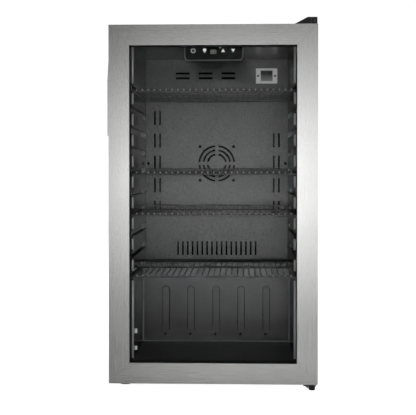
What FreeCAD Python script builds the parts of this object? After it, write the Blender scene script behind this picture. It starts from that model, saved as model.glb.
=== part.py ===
"""Glass-door beverage cooler, built as separate pieces.

Frame: X to the right, the door faces -Y, Z up. The origin is on the floor, under the middle of the
overall box. All sizes are in millimetres and live in the sheet "dims".
"""
import FreeCAD, Part
import os
import re
import Sketcher

V = FreeCAD.Vector
doc = FreeCAD.newDocument("glass_door_cooler")
dims = doc.addObject("Spreadsheet::Sheet", "dims")

SIZES = {
    # overall
    "door_width": 480, "depth": 446, "door_height": 825, "ground_gap": 16,
    "door_depth": 42, "gasket_gap": 9, "side_inset": 1, "top_inset": 2, "spacer_depth": 4,
    # sheet metal and moulded walls
    "sheet": 1, "liner_wall": 1.5, "flange": 24, "fit_gap": 0.3,
    # food compartment
    "inner_width": 384, "floor_height": 58, "roof_wall": 33, "rear_wall": 34,
    "step_front": 136, "step_height": 209, "cover_gap": 30, "cover_thick": 2,
    "rib_width": 16.5, "rib_pitch": 65.7, "rib_height": 116, "rib_lift": 29, "rib_proud": 3,
    "groove_depth": 6, "groove_height": 17, "top_shelf_drop": 112, "low_shelf_drop": 13.1,
    # wire shelves
    "rim_radius": 2.5, "wire_radius": 1.6, "shelf_setback": 21, "rail_rise": 12, "shelf_play": 10,
    "wire_inset": 9,
    # door
    "frame_face": 47.5, "skin_lip": 2.8, "mitre_gap": 0.3, "glass_thick": 4, "glass_space": 12,
    "glass_overlap": 10, "glass_seat": 0.6, "liner_lip": 9.3,
    "gasket_width": 20, "gasket_edge": 16, "magnet_width": 9, "magnet_depth": 3,
    # hinges
    "hinge_edge": 12, "hinge_back": 21, "pin_radius": 4, "pin_play": 0.05, "bush_wall": 3,
    "bush_depth": 18, "bracket_thick": 3, "bracket_gap": 2, "bracket_reach": 11,
    "bracket_tail": 60, "hinge_cover_width": 53, "hinge_cover_top": 17, "hinge_cover_wall": 1.5,
    "hinge_cover_slope": 31, "hinge_screw_radius": 2.5,
    # handle
    "handle_length": 170, "handle_drop": 85, "lip_proud": 2.8, "lip_taper": 46,
    "cup_depth": 13, "cup_width": 24, "cup_wall": 1.5, "cup_setback": 8,
    # air duct behind the back panel
    "vent_width": 37, "vent_height": 6, "vent_pitch": 61.75, "vent_centre": 30.25, "vent_row": 13,
    "vent_drop": 50, "slot_width": 5, "slot_height": 38.6, "slot_inner_edge": 38.5, "slot_outer_edge": 24.5,
    "slot_drop": 120, "slot_pitch": 60.75, "row_slots_pitch": 13.1, "row_slots_height": 38,
    "row_slots_lift": 11,
    "fan_drop": 280, "ring_outer": 46.9, "ring_step": 11.2, "ring_slot": 5, "spoke": 8.5,
    "fan_screw_span": 90.4, "side_screw_edge": 7, "screw_radius": 2, "screw_head": 4.2,
    "fan_size": 104, "fan_thick": 16, "fan_bore": 49, "blade_reach": 46, "hub_radius": 17,
    "motor_radius": 14, "shaft_radius": 1.5, "strut": 6,
    "evaporator_side": 27, "evaporator_lift": 33, "evaporator_drop": 66,
    "evaporator_thick": 1.5, "channel_radius": 3,
    # lamp
    "lamp_side": 58, "lamp_drop": 45, "lamp_width": 57, "lamp_height": 40, "lamp_proud": 7,
    "lamp_window_x": 32, "lamp_window_z": 29, "lamp_screw_x": 22.8,
    # control unit
    "control_width": 138, "control_height": 39, "control_depth": 42, "control_setback": 70,
    "control_radius": 9, "control_rim": 1.8, "button_radius": 6, "button_drop": 16,
    "key_rim": 1.2, "display_lower": 3,
    "button_fit": 0.35, "power_x": -48.7, "lamp_button_x": -21.7,
    "up_x": 22, "down_x": 45.7, "display_x": -1, "display_width": 16.6, "display_height": 14,
    # machine bay
    "bay_front": 28, "bay_height": 218, "compressor_radius": 44, "compressor_height": 118,
    "compressor_x": 60, "grommet_height": 10, "pipe_radius": 3, "coil_half": 160, "coil_lift": 86,
    "coil_drop": 46, "mount_half": 70, "mount_depth": 30, "grommet_x": 58, "grommet_y": 20,
    "grommet_radius": 9, "terminal_width": 26, "terminal_half": 18, "terminal_low": 50,
    "terminal_height": 50, "drier_radius": 9, "drier_far": 55, "drier_near": 145,
    "suction_end": 90, "discharge_edge": 40, "discharge_back": 26,
    # rear face
    "spacer_x": 150, "spacer_half": 20, "spacer_drop": 80, "spacer_height": 40,
    "louvre_x": 110, "louvre_half": 70, "louvre_low": 40, "louvre_pitch": 16, "louvre_height": 6,
    "rear_screw_edge": 20, "rear_screw_low": 16, "rear_screw_drop": 12,
    "gland_edge": 60, "gland_height": 24, "gland_radius": 6, "gland_rim": 9, "gland_bore": 3.5,
    "drain_wall": 1.2, "drain_back": 20, "channel_margin": 20,
    # feet
    "foot_radius": 7, "foot_height": 9, "left_foot_radius": 14, "left_foot_inset": 30,
    "left_foot_back": 24, "stud_radius": 4, "rear_foot_radius": 15,
    "rear_foot_inset": 36,
}
for row, (name, value) in enumerate(SIZES.items(), start=1):
    dims.set("A%d" % row, name)
    dims.set("B%d" % row, str(value))
    dims.setAlias("B%d" % row, name)
doc.recompute()

GROOVES = 10
WIRES = 27
ROW_SLOTS = 17
RIBS = 5
BLADES = 7
COIL_RUNS = 9
CHANNELS = 8
LOUVRES = 9

# places that hang from the ceiling, stand on the step or keep to a side wall
WORKED_OUT = {
    "ceiling_height": "ground_gap+door_height-top_inset-roof_wall",
    "step_top": "floor_height+step_height",
    "first_shelf": "ceiling_height-top_shelf_drop",
    "groove_pitch": "(first_shelf-step_top+low_shelf_drop)/%d" % (GROOVES - 1),
    "vent_low": "ceiling_height-vent_drop",
    "fan_height": "ceiling_height-fan_drop",
    "slot_first": "fan_height-slot_drop",
    "row_slots_low": "step_top+row_slots_lift",
    "side_screw_x": "inner_width/2-side_screw_edge",
    "slot_inner": "inner_width/2-slot_inner_edge",
    "slot_outer": "inner_width/2-slot_outer_edge",
    "lamp_x": "inner_width/2-lamp_side",
    "evaporator_width": "inner_width-2*evaporator_side",
    "evaporator_low": "step_top+evaporator_lift",
    "evaporator_high": "ceiling_height-evaporator_drop",
    "lamp_z": "ceiling_height-lamp_drop",
    "button_z": "ceiling_height-button_drop",
    "coil_low": "ground_gap+bay_height+coil_lift",
    "coil_pitch": "(ceiling_height-coil_drop-coil_low)/%d" % (COIL_RUNS - 1),
    "handle_low": "door_height-handle_drop-handle_length",
}


# ---------------------------------------------------------------- helpers
def cells(text):
    """Write a size expression with each name as the sheet's own cell, or as what it is worked out from."""
    def written(match):
        name = match[0]
        if name in WORKED_OUT:
            return "(" + cells(WORKED_OUT[name]) + ")"
        return "dims." + name if name in SIZES else name
    return re.sub(r"[a-z][a-z_]*", written, str(text))


def value(text):
    return float(dims.evalExpression(cells(text)))


def bind(thing, name, text):
    thing.setExpression(name, cells(text))


def place(thing, x=0, y=0, z=0):
    for letter, text in zip("xyz", (x, y, z)):
        bind(thing, "Placement.Base." + letter, text)


def block(label, xs, ys, zs):
    """A box from its low and high edge along each axis."""
    box = doc.addObject("Part::Box", label)
    for name, (low, high) in zip(("Length", "Width", "Height"), (xs, ys, zs)):
        bind(box, name, "(%s)-(%s)" % (high, low))
    place(box, xs[0], ys[0], zs[0])
    return box


TURN = {"x": FreeCAD.Rotation(V(0, 1, 0), 90), "y": FreeCAD.Rotation(V(1, 0, 0), -90),
        "z": FreeCAD.Rotation()}


def rod(label, axis, at, start, end, radius):
    """A round bar along an axis; "at" gives its place on the two other axes, in X, Y, Z order."""
    bar = doc.addObject("Part::Cylinder", label)
    bar.Placement = FreeCAD.Placement(V(), TURN[axis])
    bind(bar, "Radius", radius)
    bind(bar, "Height", "(%s)-(%s)" % (end, start))
    spot = list(at)
    spot.insert("xyz".index(axis), start)
    place(bar, *spot)
    return bar


def many(kind, label, pieces):
    thing = doc.addObject(kind, label)
    if kind == "Part::Compound":
        thing.Links = pieces
    else:
        thing.Shapes = pieces
    return thing


def fuse(label, *pieces):
    return many("Part::MultiFuse", label, list(pieces))


def cut(label, base, *tools):
    thing = doc.addObject("Part::Cut", label)
    thing.Base = base
    thing.Tool = tools[0] if len(tools) == 1 else many("Part::Compound", label + "_tools", list(tools))
    return thing


def prism(label, axis, points, start, end):
    """A sketched outline padded along an axis; points are (first, second) places in X, Y, Z order."""
    body = doc.addObject("PartDesign::Body", label)
    plane = {"x": "YZ_Plane", "y": "XZ_Plane", "z": "XY_Plane"}[axis]
    sketch = body.newObject("Sketcher::SketchObject", label + "_outline")
    sketch.AttachmentSupport = [([f for f in body.Origin.OriginFeatures if f.Role == plane][0], "")]
    sketch.MapMode = "FlatFace"
    # the XZ plane faces -Y, so a pad along Y starts from its far end
    first = "-(%s)" % end if axis == "y" else start
    bind(sketch, "AttachmentOffset.Base.z", first)
    corners = [(value(a), value(b)) for a, b in points]
    for i, corner in enumerate(corners):
        after = corners[(i + 1) % len(corners)]
        sketch.addGeometry(Part.LineSegment(V(*corner, 0), V(*after, 0)), False)
    for i in range(len(points)):
        sketch.addConstraint(Sketcher.Constraint("Coincident", i, 2, (i + 1) % len(points), 1))
        for kind, where, now in zip(("DistanceX", "DistanceY"), points[i], corners[i]):
            made = sketch.addConstraint(Sketcher.Constraint(kind, -1, 1, i, 1, now))
            bind(sketch, "Constraints[%d]" % made, where)
    pad = body.newObject("PartDesign::Pad", label + "_pad")
    pad.Profile = sketch
    bind(pad, "Length", "(%s)-(%s)" % (end, start))
    return body


def screw(label, at, face, tip):
    """A cross-slot screw along Y: the shank from face to tip, the head standing 2 mm off the face."""
    x, z = at
    blank = fuse(label + "_blank", rod(label + "_shank", "y", at, face, tip, "screw_radius"),
                 rod(label + "_head", "y", at, face + "-2", face, "screw_head"))
    slot = (face + "-2", face + "-1.1")
    across = block(label + "_slot", (x + "-3", x + "+3"), slot, (z + "-0.5", z + "+0.5"))
    up = block(label + "_slot_up", (x + "-0.5", x + "+0.5"), slot, (z + "-3", z + "+3"))
    return cut(label, blank, across, up)


nodes = []


def node(label, thing):
    """Name a finished piece; its label is also its file's name."""
    thing.Label = label
    nodes.append(thing)
    return thing


# ---------------------------------------------------------------- shared places
FRONT = "(-depth/2)"
DOOR_BACK = "(-depth/2+door_depth)"
CAB_FRONT = "(-depth/2+door_depth+gasket_gap)"
CAB_BACK = "(depth/2-spacer_depth)"
DOOR_X = "(door_width/2)"
CAB_X = "(door_width/2-side_inset)"
DOOR_LOW = "ground_gap"
DOOR_TOP = "(ground_gap+door_height)"
CAB_TOP = "(ground_gap+door_height-top_inset)"
IN_X = "(inner_width/2)"
LINER_BACK = "(depth/2-spacer_depth-rear_wall)"
COVER_FRONT = "(depth/2-spacer_depth-rear_wall-cover_gap-cover_thick)"
COVER_BACK = "(depth/2-spacer_depth-rear_wall-cover_gap)"
STEP_FRONT = "(depth/2-spacer_depth-step_front)"
STEP_TOP = "step_top"
HINGE_X = "(door_width/2-hinge_edge)"
HINGE_Y = "(-depth/2+hinge_back)"
BAY_FRONT = "(depth/2-spacer_depth-step_front+liner_wall+bay_front)"
BAY_TOP = "(ground_gap+bay_height)"
LEFT_FOOT = ("-(door_width/2-left_foot_inset)", CAB_FRONT + "+left_foot_back")
DRAIN = ("-inner_width/4", STEP_FRONT + "-drain_back")


def mirrored(x):
    return ("-(%s)" % x, x)


# ---------------------------------------------------------------- cabinet shell and panels
def folded_shell():
    outer = block("shell_outer", mirrored(CAB_X), (CAB_FRONT, CAB_BACK), ("ground_gap+sheet", CAB_TOP))
    inner = block("shell_inner", mirrored(CAB_X + "-sheet"), (CAB_FRONT + "+sheet", CAB_BACK + "+1"),
                  ("ground_gap", CAB_TOP + "-sheet"))
    opening = block("shell_opening", mirrored(CAB_X + "-flange"), (CAB_FRONT + "-1", CAB_FRONT + "+2"),
                    ("ground_gap", CAB_TOP + "-flange"))
    return cut("shell", outer, inner, opening)


def pan_base():
    pan = block("base_outer", mirrored(CAB_X), (CAB_FRONT, CAB_BACK), ("ground_gap", "ground_gap+sheet"))
    sill = block("base_sill", mirrored(CAB_X + "-flange"), (CAB_FRONT, CAB_FRONT + "+sheet"),
                 ("ground_gap", "ground_gap+flange"))
    stud_hole = rod("base_stud_hole", "z", LEFT_FOOT, "ground_gap-1", "ground_gap+3", "stud_radius+fit_gap")
    drain_hole = rod("base_drain_hole", "z", DRAIN, "ground_gap-1", "ground_gap+3",
                     "pipe_radius*2")
    return cut("base", fuse("base_blank", pan, sill), stud_hole, drain_hole)


node("cabinet_shell", folded_shell())
node("base_plate", pan_base())
node("back_panel", block("back", mirrored(CAB_X + "-sheet"), (CAB_BACK + "-sheet", CAB_BACK),
                         (BAY_TOP, CAB_TOP + "-sheet")))
spacers = [block("spacer_%d" % side, ("%d*spacer_x-spacer_half" % side, "%d*spacer_x+spacer_half" % side),
                 (CAB_BACK, "depth/2"), (CAB_TOP + "-spacer_drop-spacer_height", CAB_TOP + "-spacer_drop"))
           for side in (-1, 1)]
node("wall_spacers", many("Part::Compound", "spacers", spacers))

partition_wall = block("partition_wall", mirrored(CAB_X + "-sheet"), (BAY_FRONT, BAY_FRONT + "+sheet"),
                       ("ground_gap+sheet", BAY_TOP))
partition_roof = block("partition_roof", mirrored(CAB_X + "-sheet"), (BAY_FRONT, CAB_BACK + "-sheet"),
                       (BAY_TOP, BAY_TOP + "+sheet"))
node("bay_partition", fuse("partition", partition_wall, partition_roof))

LOUVRE_Z = "ground_gap+louvre_low+%d*louvre_pitch"
louvres = [block("louvre_%d_%d" % (side, row),
                 ("%d*louvre_x-louvre_half" % side, "%d*louvre_x+louvre_half" % side),
                 (CAB_BACK + "-3", CAB_BACK + "+1"), (LOUVRE_Z % row, LOUVRE_Z % row + "+louvre_height"))
           for side in (-1, 1) for row in range(LOUVRES)]
REAR_SCREWS = [(x, z) for x in ("-(door_width/2-rear_screw_edge)", "0", "door_width/2-rear_screw_edge")
               for z in ("ground_gap+rear_screw_low", BAY_TOP + "-rear_screw_drop")]
GLAND = ("-(door_width/2-gland_edge)", "ground_gap+gland_height")
rear_holes = [rod("rear_hole_%d" % i, "y", at, CAB_BACK + "-3", CAB_BACK + "+1", "screw_radius+fit_gap")
              for i, at in enumerate(REAR_SCREWS)]
gland_hole = rod("gland_hole", "y", GLAND, CAB_BACK + "-3", CAB_BACK + "+1", "gland_radius+fit_gap")
node("compressor_cover", cut("rear_cover", block("rear_sheet", mirrored(CAB_X + "-sheet"),
                                                 (CAB_BACK + "-sheet", CAB_BACK),
                                                 ("ground_gap+sheet", BAY_TOP + "-fit_gap")),
                             gland_hole, *louvres, *rear_holes))
rear_screws = []
for i, at in enumerate(REAR_SCREWS):
    shank = rod("rear_screw_%d_shank" % i, "y", at, CAB_BACK + "-6", CAB_BACK, "screw_radius")
    cap = rod("rear_screw_%d_head" % i, "y", at, CAB_BACK, CAB_BACK + "+2", "screw_head")
    rear_screws.append(fuse("rear_screw_%d" % i, shank, cap))
node("rear_screws", many("Part::Compound", "rear_screw_set", rear_screws))
gland_body = rod("gland_body", "y", GLAND, CAB_BACK + "-10", CAB_BACK, "gland_radius")
gland_rim = rod("gland_flange", "y", GLAND, CAB_BACK, CAB_BACK + "+3", "gland_rim")
gland_bore = rod("gland_passage", "y", GLAND, CAB_BACK + "-11", CAB_BACK + "+4", "gland_bore")
node("power_gland", cut("gland", fuse("gland_blank", gland_body, gland_rim), gland_bore))


# ---------------------------------------------------------------- liner and foam
def compartment(label, grow, front):
    """The food compartment's space, grown outwards by a wall, with its step and shelf grooves."""
    upper = block(label + "_upper", mirrored(IN_X + "+" + grow), (front, LINER_BACK + "+" + grow),
                  (STEP_TOP + "-" + grow, "ceiling_height+" + grow))
    lower = block(label + "_lower", mirrored(IN_X + "+" + grow), (front, STEP_FRONT + "+" + grow),
                  ("floor_height-" + grow, STEP_TOP + "+1"))
    spaces = [upper, lower]
    for i in range(GROOVES):
        bottom = "first_shelf-%d*groove_pitch-rim_radius-fit_gap" % i
        back = STEP_FRONT if i == GROOVES - 1 else COVER_FRONT
        spaces.append(block("%s_groove_%d" % (label, i), mirrored(IN_X + "+groove_depth+" + grow),
                            (front, back + "+" + grow),
                            (bottom + "-" + grow, bottom + "+groove_height+" + grow)))
    return fuse(label, *spaces)


def moulded_liner():
    flange = block("liner_flange", mirrored(CAB_X + "-flange"), (CAB_FRONT, CAB_FRONT + "+liner_wall"),
                   ("ground_gap+flange", CAB_TOP + "-flange"))
    outer = compartment("liner_outer", "liner_wall", CAB_FRONT)
    inner = compartment("liner_inner", "0", CAB_FRONT + "-1")
    tray = cut("liner_tray", fuse("liner_blank", flange, outer), inner)
    pieces = [tray]
    low = "floor_height+rib_lift"
    for i in range(RIBS):
        x = "(%d)*rib_pitch" % (i - (RIBS - 1) // 2)
        ys = (STEP_FRONT + "-rib_proud", STEP_FRONT + "+liner_wall/2")
        pieces.append(block("rib_%d" % i, (x + "-rib_width/2", x + "+rib_width/2"), ys,
                            (low, low + "+rib_height-rib_width/2")))
        pieces.append(rod("rib_top_%d" % i, "y", (x, low + "+rib_height-rib_width/2"), *ys,
                          "rib_width/2"))
    return fuse("liner", *pieces)


def foam():
    bulk = block("foam_bulk", mirrored(CAB_X + "-sheet"), (CAB_FRONT + "+liner_wall", CAB_BACK + "-sheet"),
                 ("ground_gap+sheet", CAB_TOP + "-sheet"))
    bay = block("foam_bay", mirrored(CAB_X), (BAY_FRONT, CAB_BACK), ("ground_gap", BAY_TOP + "+sheet"))
    box = compartment("foam_hollow", "liner_wall", CAB_FRONT)
    coil = block("foam_coil", mirrored("coil_half+pipe_radius*4"),
                 (CAB_BACK + "-sheet-pipe_radius*2", CAB_BACK),
                 ("coil_low-pipe_radius*4", "coil_low+%d*coil_pitch+pipe_radius*4" % (COIL_RUNS - 1)))
    stud = rod("foam_stud", "z", LEFT_FOOT, "ground_gap", "ground_gap+24", "10")
    drain = rod("foam_drain", "z", DRAIN, "ground_gap", "floor_height", "pipe_radius*2")
    return cut("foam", bulk, bay, box, coil, stud, drain)


node("inner_liner", moulded_liner())
node("foam_insulation", foam())

drain_pipe = rod("drain_pipe", "z", DRAIN, "ground_gap-4", "floor_height-liner_wall",
                 "pipe_radius*2")
drain_bore = rod("drain_bore", "z", DRAIN, "ground_gap-5", "floor_height",
                 "pipe_radius*2-drain_wall")
node("drain_tube", cut("drain", drain_pipe, drain_bore))


# ---------------------------------------------------------------- back panel inside, with its vents
def arc_slots(label, radius):
    """One ring of four arc slots in the fan grille."""
    at = ("0", "fan_height")
    ys = (COVER_FRONT + "-1", COVER_BACK + "+1")
    ring = cut(label + "_ring", rod(label + "_out", "y", at, *ys, radius + "+ring_slot/2"),
               rod(label + "_in", "y", at, *ys, radius + "-ring_slot/2"))
    bars = [block(label + "_bar", mirrored("ring_outer*2"), ys, ("fan_height-spoke/2", "fan_height+spoke/2")),
            block(label + "_post", mirrored("spoke/2"), ys,
                  ("fan_height-ring_outer*2", "fan_height+ring_outer*2"))]
    return cut(label, ring, *bars)


PANEL_SCREWS = [("%d*fan_screw_span/2" % a, "fan_height+%d*fan_screw_span/2" % b)
                for a in (-1, 1) for b in (-1, 1)]
PANEL_SCREWS += [("-side_screw_x", "fan_height"), ("side_screw_x", "fan_height")]
LAMP_SCREWS = [("lamp_x-lamp_screw_x", "lamp_z"), ("lamp_x+lamp_screw_x", "lamp_z")]
THROUGH = (COVER_FRONT + "-1", COVER_BACK + "+1")


def vented_cover():
    sheet = block("cover_sheet", mirrored(IN_X + "-fit_gap*2"), (COVER_FRONT, COVER_BACK),
                  (STEP_TOP + "+fit_gap", "ceiling_height-fit_gap"))
    holes = []
    for column in range(3):
        x = "(%d)*vent_pitch-vent_centre" % (column - 1)
        for row in range(2):
            z = "vent_low+%d*vent_row" % row
            holes.append(block("vent_%d_%d" % (column, row), (x + "-vent_width/2", x + "+vent_width/2"),
                               THROUGH, (z + "-vent_height/2", z + "+vent_height/2")))
    for side in (-1, 1):
        for row in range(5 if side < 0 else 4):
            z = "slot_first+%d*slot_pitch" % row
            for name in ("slot_inner", "slot_outer"):
                x = "%d*%s" % (side, name)
                holes.append(block("%s_%d_%d" % (name, side + 1, row),
                                   (x + "-slot_width/2", x + "+slot_width/2"), THROUGH,
                                   (z + "-slot_height/2", z + "+slot_height/2")))
    for i in range(ROW_SLOTS):
        x = "(%d)*row_slots_pitch" % (i - ROW_SLOTS // 2)
        holes.append(block("row_slot_%d" % i, (x + "-slot_width/2", x + "+slot_width/2"), THROUGH,
                           ("row_slots_low", "row_slots_low+row_slots_height")))
    holes += [arc_slots("grille_%d" % i, "(ring_outer-%d*ring_step)" % i) for i in range(3)]
    for i, at in enumerate(PANEL_SCREWS + LAMP_SCREWS):
        holes.append(rod("cover_hole_%d" % i, "y", at, *THROUGH, "screw_radius"))
    return cut("cover", sheet, *holes)


node("evaporator_cover", vented_cover())
node("panel_screws", many("Part::Compound", "panel_screw_set",
                          [screw("panel_screw_%d" % i, at, COVER_FRONT, COVER_BACK + "+3")
                           for i, at in enumerate(PANEL_SCREWS)]))

# ---------------------------------------------------------------- fan
FAN_BACK = COVER_BACK + "+fan_thick"
FAN_AT = ("0", "fan_height")


def fan_housing():
    box = block("fan_box", mirrored("fan_size/2"), (COVER_BACK, FAN_BACK),
                ("fan_height-fan_size/2", "fan_height+fan_size/2"))
    bore = rod("fan_air", "y", FAN_AT, COVER_BACK + "-1", FAN_BACK + "+1", "fan_bore")
    holes = [rod("fan_hole_%d" % i, "y", at, COVER_BACK + "-1", COVER_BACK + "+6", "screw_radius")
             for i, at in enumerate(PANEL_SCREWS[:4])]
    cross = [block("fan_strut_x", mirrored("fan_bore+1"), (FAN_BACK + "-2", FAN_BACK),
                   ("fan_height-strut/2", "fan_height+strut/2")),
             block("fan_strut_z", mirrored("strut/2"), (FAN_BACK + "-2", FAN_BACK),
                   ("fan_height-fan_bore-1", "fan_height+fan_bore+1"))]
    return fuse("fan_housing", cut("fan_box_bored", box, bore, *holes), *cross)


def fan_wheel():
    hub = rod("hub_cup", "y", FAN_AT, COVER_BACK + "+2", FAN_BACK + "-3", "hub_radius")
    hollow = rod("hub_hollow", "y", FAN_AT, COVER_BACK + "+4", FAN_BACK, "motor_radius+1")
    shaft = rod("hub_shaft", "y", FAN_AT, COVER_BACK + "+3", FAN_BACK + "-4", "shaft_radius")
    blades = []
    for i in range(BLADES):
        blade = doc.addObject("Part::Box", "blade_%d" % i)
        bind(blade, "Length", "blade_reach-hub_radius+1")
        blade.Width = 1.2
        blade.Height = 14
        turn = FreeCAD.Rotation(V(0, 1, 0), 360 * i / BLADES)
        pitch = FreeCAD.Rotation(V(1, 0, 0), 55)
        reach = "(hub_radius-1)"
        blade.Placement = FreeCAD.Placement(V(), turn.multiply(pitch))
        out = turn.multVec(V(1, 0, 0))
        low = turn.multiply(pitch).multVec(V(0, 0.6, 7))
        place(blade, "%.6f*%s-%.6f" % (out.x, reach, low.x),
              COVER_BACK + "+fan_thick/2-0.5-(%.6f)" % low.y,
              "fan_height+(%.6f)*%s-(%.6f)" % (out.z, reach, low.z))
        blades.append(blade)
    return fuse("fan_wheel", cut("hub", hub, hollow), shaft, *blades)


node("fan_frame", fan_housing())
motor = cut("motor", rod("motor_can", "y", FAN_AT, COVER_BACK + "+4.5", FAN_BACK + "-2", "motor_radius"),
            rod("motor_bore", "y", FAN_AT, COVER_BACK + "+4", FAN_BACK + "-3", "shaft_radius+pin_play"))
node("fan_motor", motor)
node("fan_rotor", fan_wheel())


# ---------------------------------------------------------------- evaporator, lamp, sensor
def evaporator_plate():
    y = FAN_BACK + "+6"
    plate = block("plate", mirrored("evaporator_width/2"),
                  (y + "-evaporator_thick/2", y + "+evaporator_thick/2"),
                  ("evaporator_low", "evaporator_high"))
    pieces = [plate]
    end = "(evaporator_width/2-channel_margin)"
    pitch = "(evaporator_high-evaporator_low-2*channel_margin)/%d" % (CHANNELS - 1)
    rise = "evaporator_low+channel_margin+%d*" + pitch
    for i in range(CHANNELS):
        pieces.append(rod("channel_%d" % i, "x", (y, rise % i), "-" + end, end, "channel_radius"))
        if i:
            side = "-" if i % 2 else ""
            pieces.append(rod("channel_turn_%d" % i, "z", (side + end, y), rise % (i - 1), rise % i,
                              "channel_radius"))
    return fuse("evaporator_set", *pieces)


node("evaporator", evaporator_plate())
node("temperature_sensor", rod("sensor", "x", (COVER_BACK + "+4", "vent_low-40"), "-20", "20", "3"))

LAMP_FRONT = COVER_FRONT + "-lamp_proud"
lamp_box = block("lamp_box", ("lamp_x-lamp_width/2", "lamp_x+lamp_width/2"), (LAMP_FRONT, COVER_FRONT),
                 ("lamp_z-lamp_height/2", "lamp_z+lamp_height/2"))
lamp_hollow = block("lamp_hollow", ("lamp_x-lamp_window_x/2", "lamp_x+lamp_window_x/2"),
                    (LAMP_FRONT + "-1", COVER_FRONT + "+1"),
                    ("lamp_z-lamp_window_z/2", "lamp_z+lamp_window_z/2"))
lamp_holes = [rod("lamp_hole_%d" % i, "y", at, LAMP_FRONT + "-1", COVER_FRONT + "+1", "screw_radius")
              for i, at in enumerate(LAMP_SCREWS)]
lamp_sinks = [rod("lamp_sink_%d" % i, "y", at, LAMP_FRONT + "-1", LAMP_FRONT + "+3", "screw_head*0.75")
              for i, at in enumerate(LAMP_SCREWS)]
node("lamp_housing", cut("lamp_case", lamp_box, lamp_hollow, *lamp_holes, *lamp_sinks))
node("lamp_lens", block("lens", ("lamp_x-lamp_window_x/2", "lamp_x+lamp_window_x/2"),
                        (LAMP_FRONT + "+1", LAMP_FRONT + "+2.5"),
                        ("lamp_z-lamp_window_z/2", "lamp_z+lamp_window_z/2")))
led_card = block("led_card", ("lamp_x-lamp_window_x/2", "lamp_x+lamp_window_x/2"),
                 (COVER_FRONT + "-1.6", COVER_FRONT), ("lamp_z-lamp_window_z/2", "lamp_z+lamp_window_z/2"))
leds = [block("led_%d" % i, ("lamp_x+(%d)*9-2" % i, "lamp_x+(%d)*9+2" % i),
              (COVER_FRONT + "-3", COVER_FRONT + "-1.6"), ("lamp_z-2", "lamp_z+2")) for i in (-1, 0, 1)]
node("lamp_board", fuse("lamp_card", led_card, *leds))
lamp_screws = []
for i, at in enumerate(LAMP_SCREWS):
    shank = rod("lamp_screw_%d_shank" % i, "y", at, LAMP_FRONT + "+3", COVER_BACK + "+3", "screw_radius")
    cap = rod("lamp_screw_%d_head" % i, "y", at, LAMP_FRONT + "+1.5", LAMP_FRONT + "+3", "screw_head*0.7")
    lamp_screws.append(fuse("lamp_screw_%d" % i, shank, cap))
node("lamp_screws", many("Part::Compound", "lamp_screw_set", lamp_screws))

# ---------------------------------------------------------------- control unit under the ceiling
CTRL_FRONT = "(-depth/2+control_setback)"
CTRL_LOW = "(ceiling_height-control_height)"


def rounded_plate(label, inset, ys):
    """A plate with its two lower corners rounded, flush with the ceiling above."""
    half = "(control_width/2-%s)" % inset
    low = CTRL_LOW + "+" + inset
    round_x = half + "-(control_radius-%s)" % inset
    top = "ceiling_height" if inset == "0" else "ceiling_height-" + inset
    middle = block(label + "_middle", mirrored(round_x), ys, (low, top))
    upper = block(label + "_upper", mirrored(half), ys, (low + "+control_radius-" + inset, top))
    corners = [rod("%s_corner_%d" % (label, side + 1), "y",
                   ("%d*(%s)" % (side, round_x), low + "+control_radius-" + inset), *ys,
                   "control_radius-" + inset) for side in (-1, 1)]
    return fuse(label, middle, upper, *corners)


BUTTONS = {"power_button": "power_x", "lamp_button": "lamp_button_x", "up_button": "up_x",
           "down_button": "down_x"}
FASCIA = (CTRL_FRONT + "+0.6", CTRL_FRONT + "+2.6")


def control_box():
    case = rounded_plate("ctrl_case", "0", (CTRL_FRONT, CTRL_FRONT + "+control_depth"))
    room = rounded_plate("ctrl_room", "control_rim", (CTRL_FRONT + "-1", CTRL_FRONT + "+control_depth-2"))
    return cut("ctrl_shell", case, room)


def control_face():
    plate = rounded_plate("fascia_plate", "(control_rim+0.2)", FASCIA)
    ys = (CTRL_FRONT, CTRL_FRONT + "+4")
    window = block("fascia_window", ("display_x-display_width/2", "display_x+display_width/2"), ys,
                   ("button_z-display_lower-display_height/2", "button_z-display_lower+display_height/2"))
    holes = [rod(name + "_hole", "y", (x, "button_z"), *ys, "button_radius+button_fit")
             for name, x in BUTTONS.items()]
    return cut("fascia", plate, window, *holes)


node("control_housing", control_box())
node("control_fascia", control_face())
node("display_window", block("window", ("display_x-display_width/2+0.1", "display_x+display_width/2-0.1"),
                             (CTRL_FRONT + "+0.6", CTRL_FRONT + "+2.6"),
                             ("button_z-display_lower-display_height/2+0.1",
                              "button_z-display_lower+display_height/2-0.1")))
for name, x in BUTTONS.items():
    cap = rod(name + "_cap", "y", (x, "button_z"), CTRL_FRONT + "+0.4", CTRL_FRONT + "+3.4",
              "button_radius")
    rim = rod(name + "_rim", "y", (x, "button_z"), CTRL_FRONT + "+3", CTRL_FRONT + "+4",
              "button_radius+key_rim")
    node(name, fuse(name + "_key", cap, rim))


# ---------------------------------------------------------------- machine bay
COMP_Y = "(%s+%s)/2+1" % (BAY_FRONT, CAB_BACK)
PAN_TOP = "ground_gap+sheet"


def compressor_shell():
    at = ("compressor_x", COMP_Y)
    low = PAN_TOP + "+grommet_height+3"
    can = rod("comp_can", "z", at, low + "+14", low + "+compressor_height-20", "compressor_radius")
    seam = rod("comp_seam", "z", at, low + "+62", low + "+66", "compressor_radius+2")
    domes = []
    for name, z, rise in (("top", low + "+compressor_height-20", 20), ("base", low + "+14", 15)):
        dome = doc.addObject("Part::Ellipsoid", "comp_dome_" + name)
        dome.Radius1 = rise
        bind(dome, "Radius2", "compressor_radius")
        bind(dome, "Radius3", "compressor_radius")
        place(dome, *at, z)
        domes.append(dome)
    plate = block("comp_plate", ("compressor_x-mount_half", "compressor_x+mount_half"),
                  (COMP_Y + "-mount_depth", COMP_Y + "+mount_depth"),
                  (PAN_TOP + "+grommet_height", PAN_TOP + "+grommet_height+3"))
    return fuse("comp", can, seam, plate, *domes)


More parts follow.
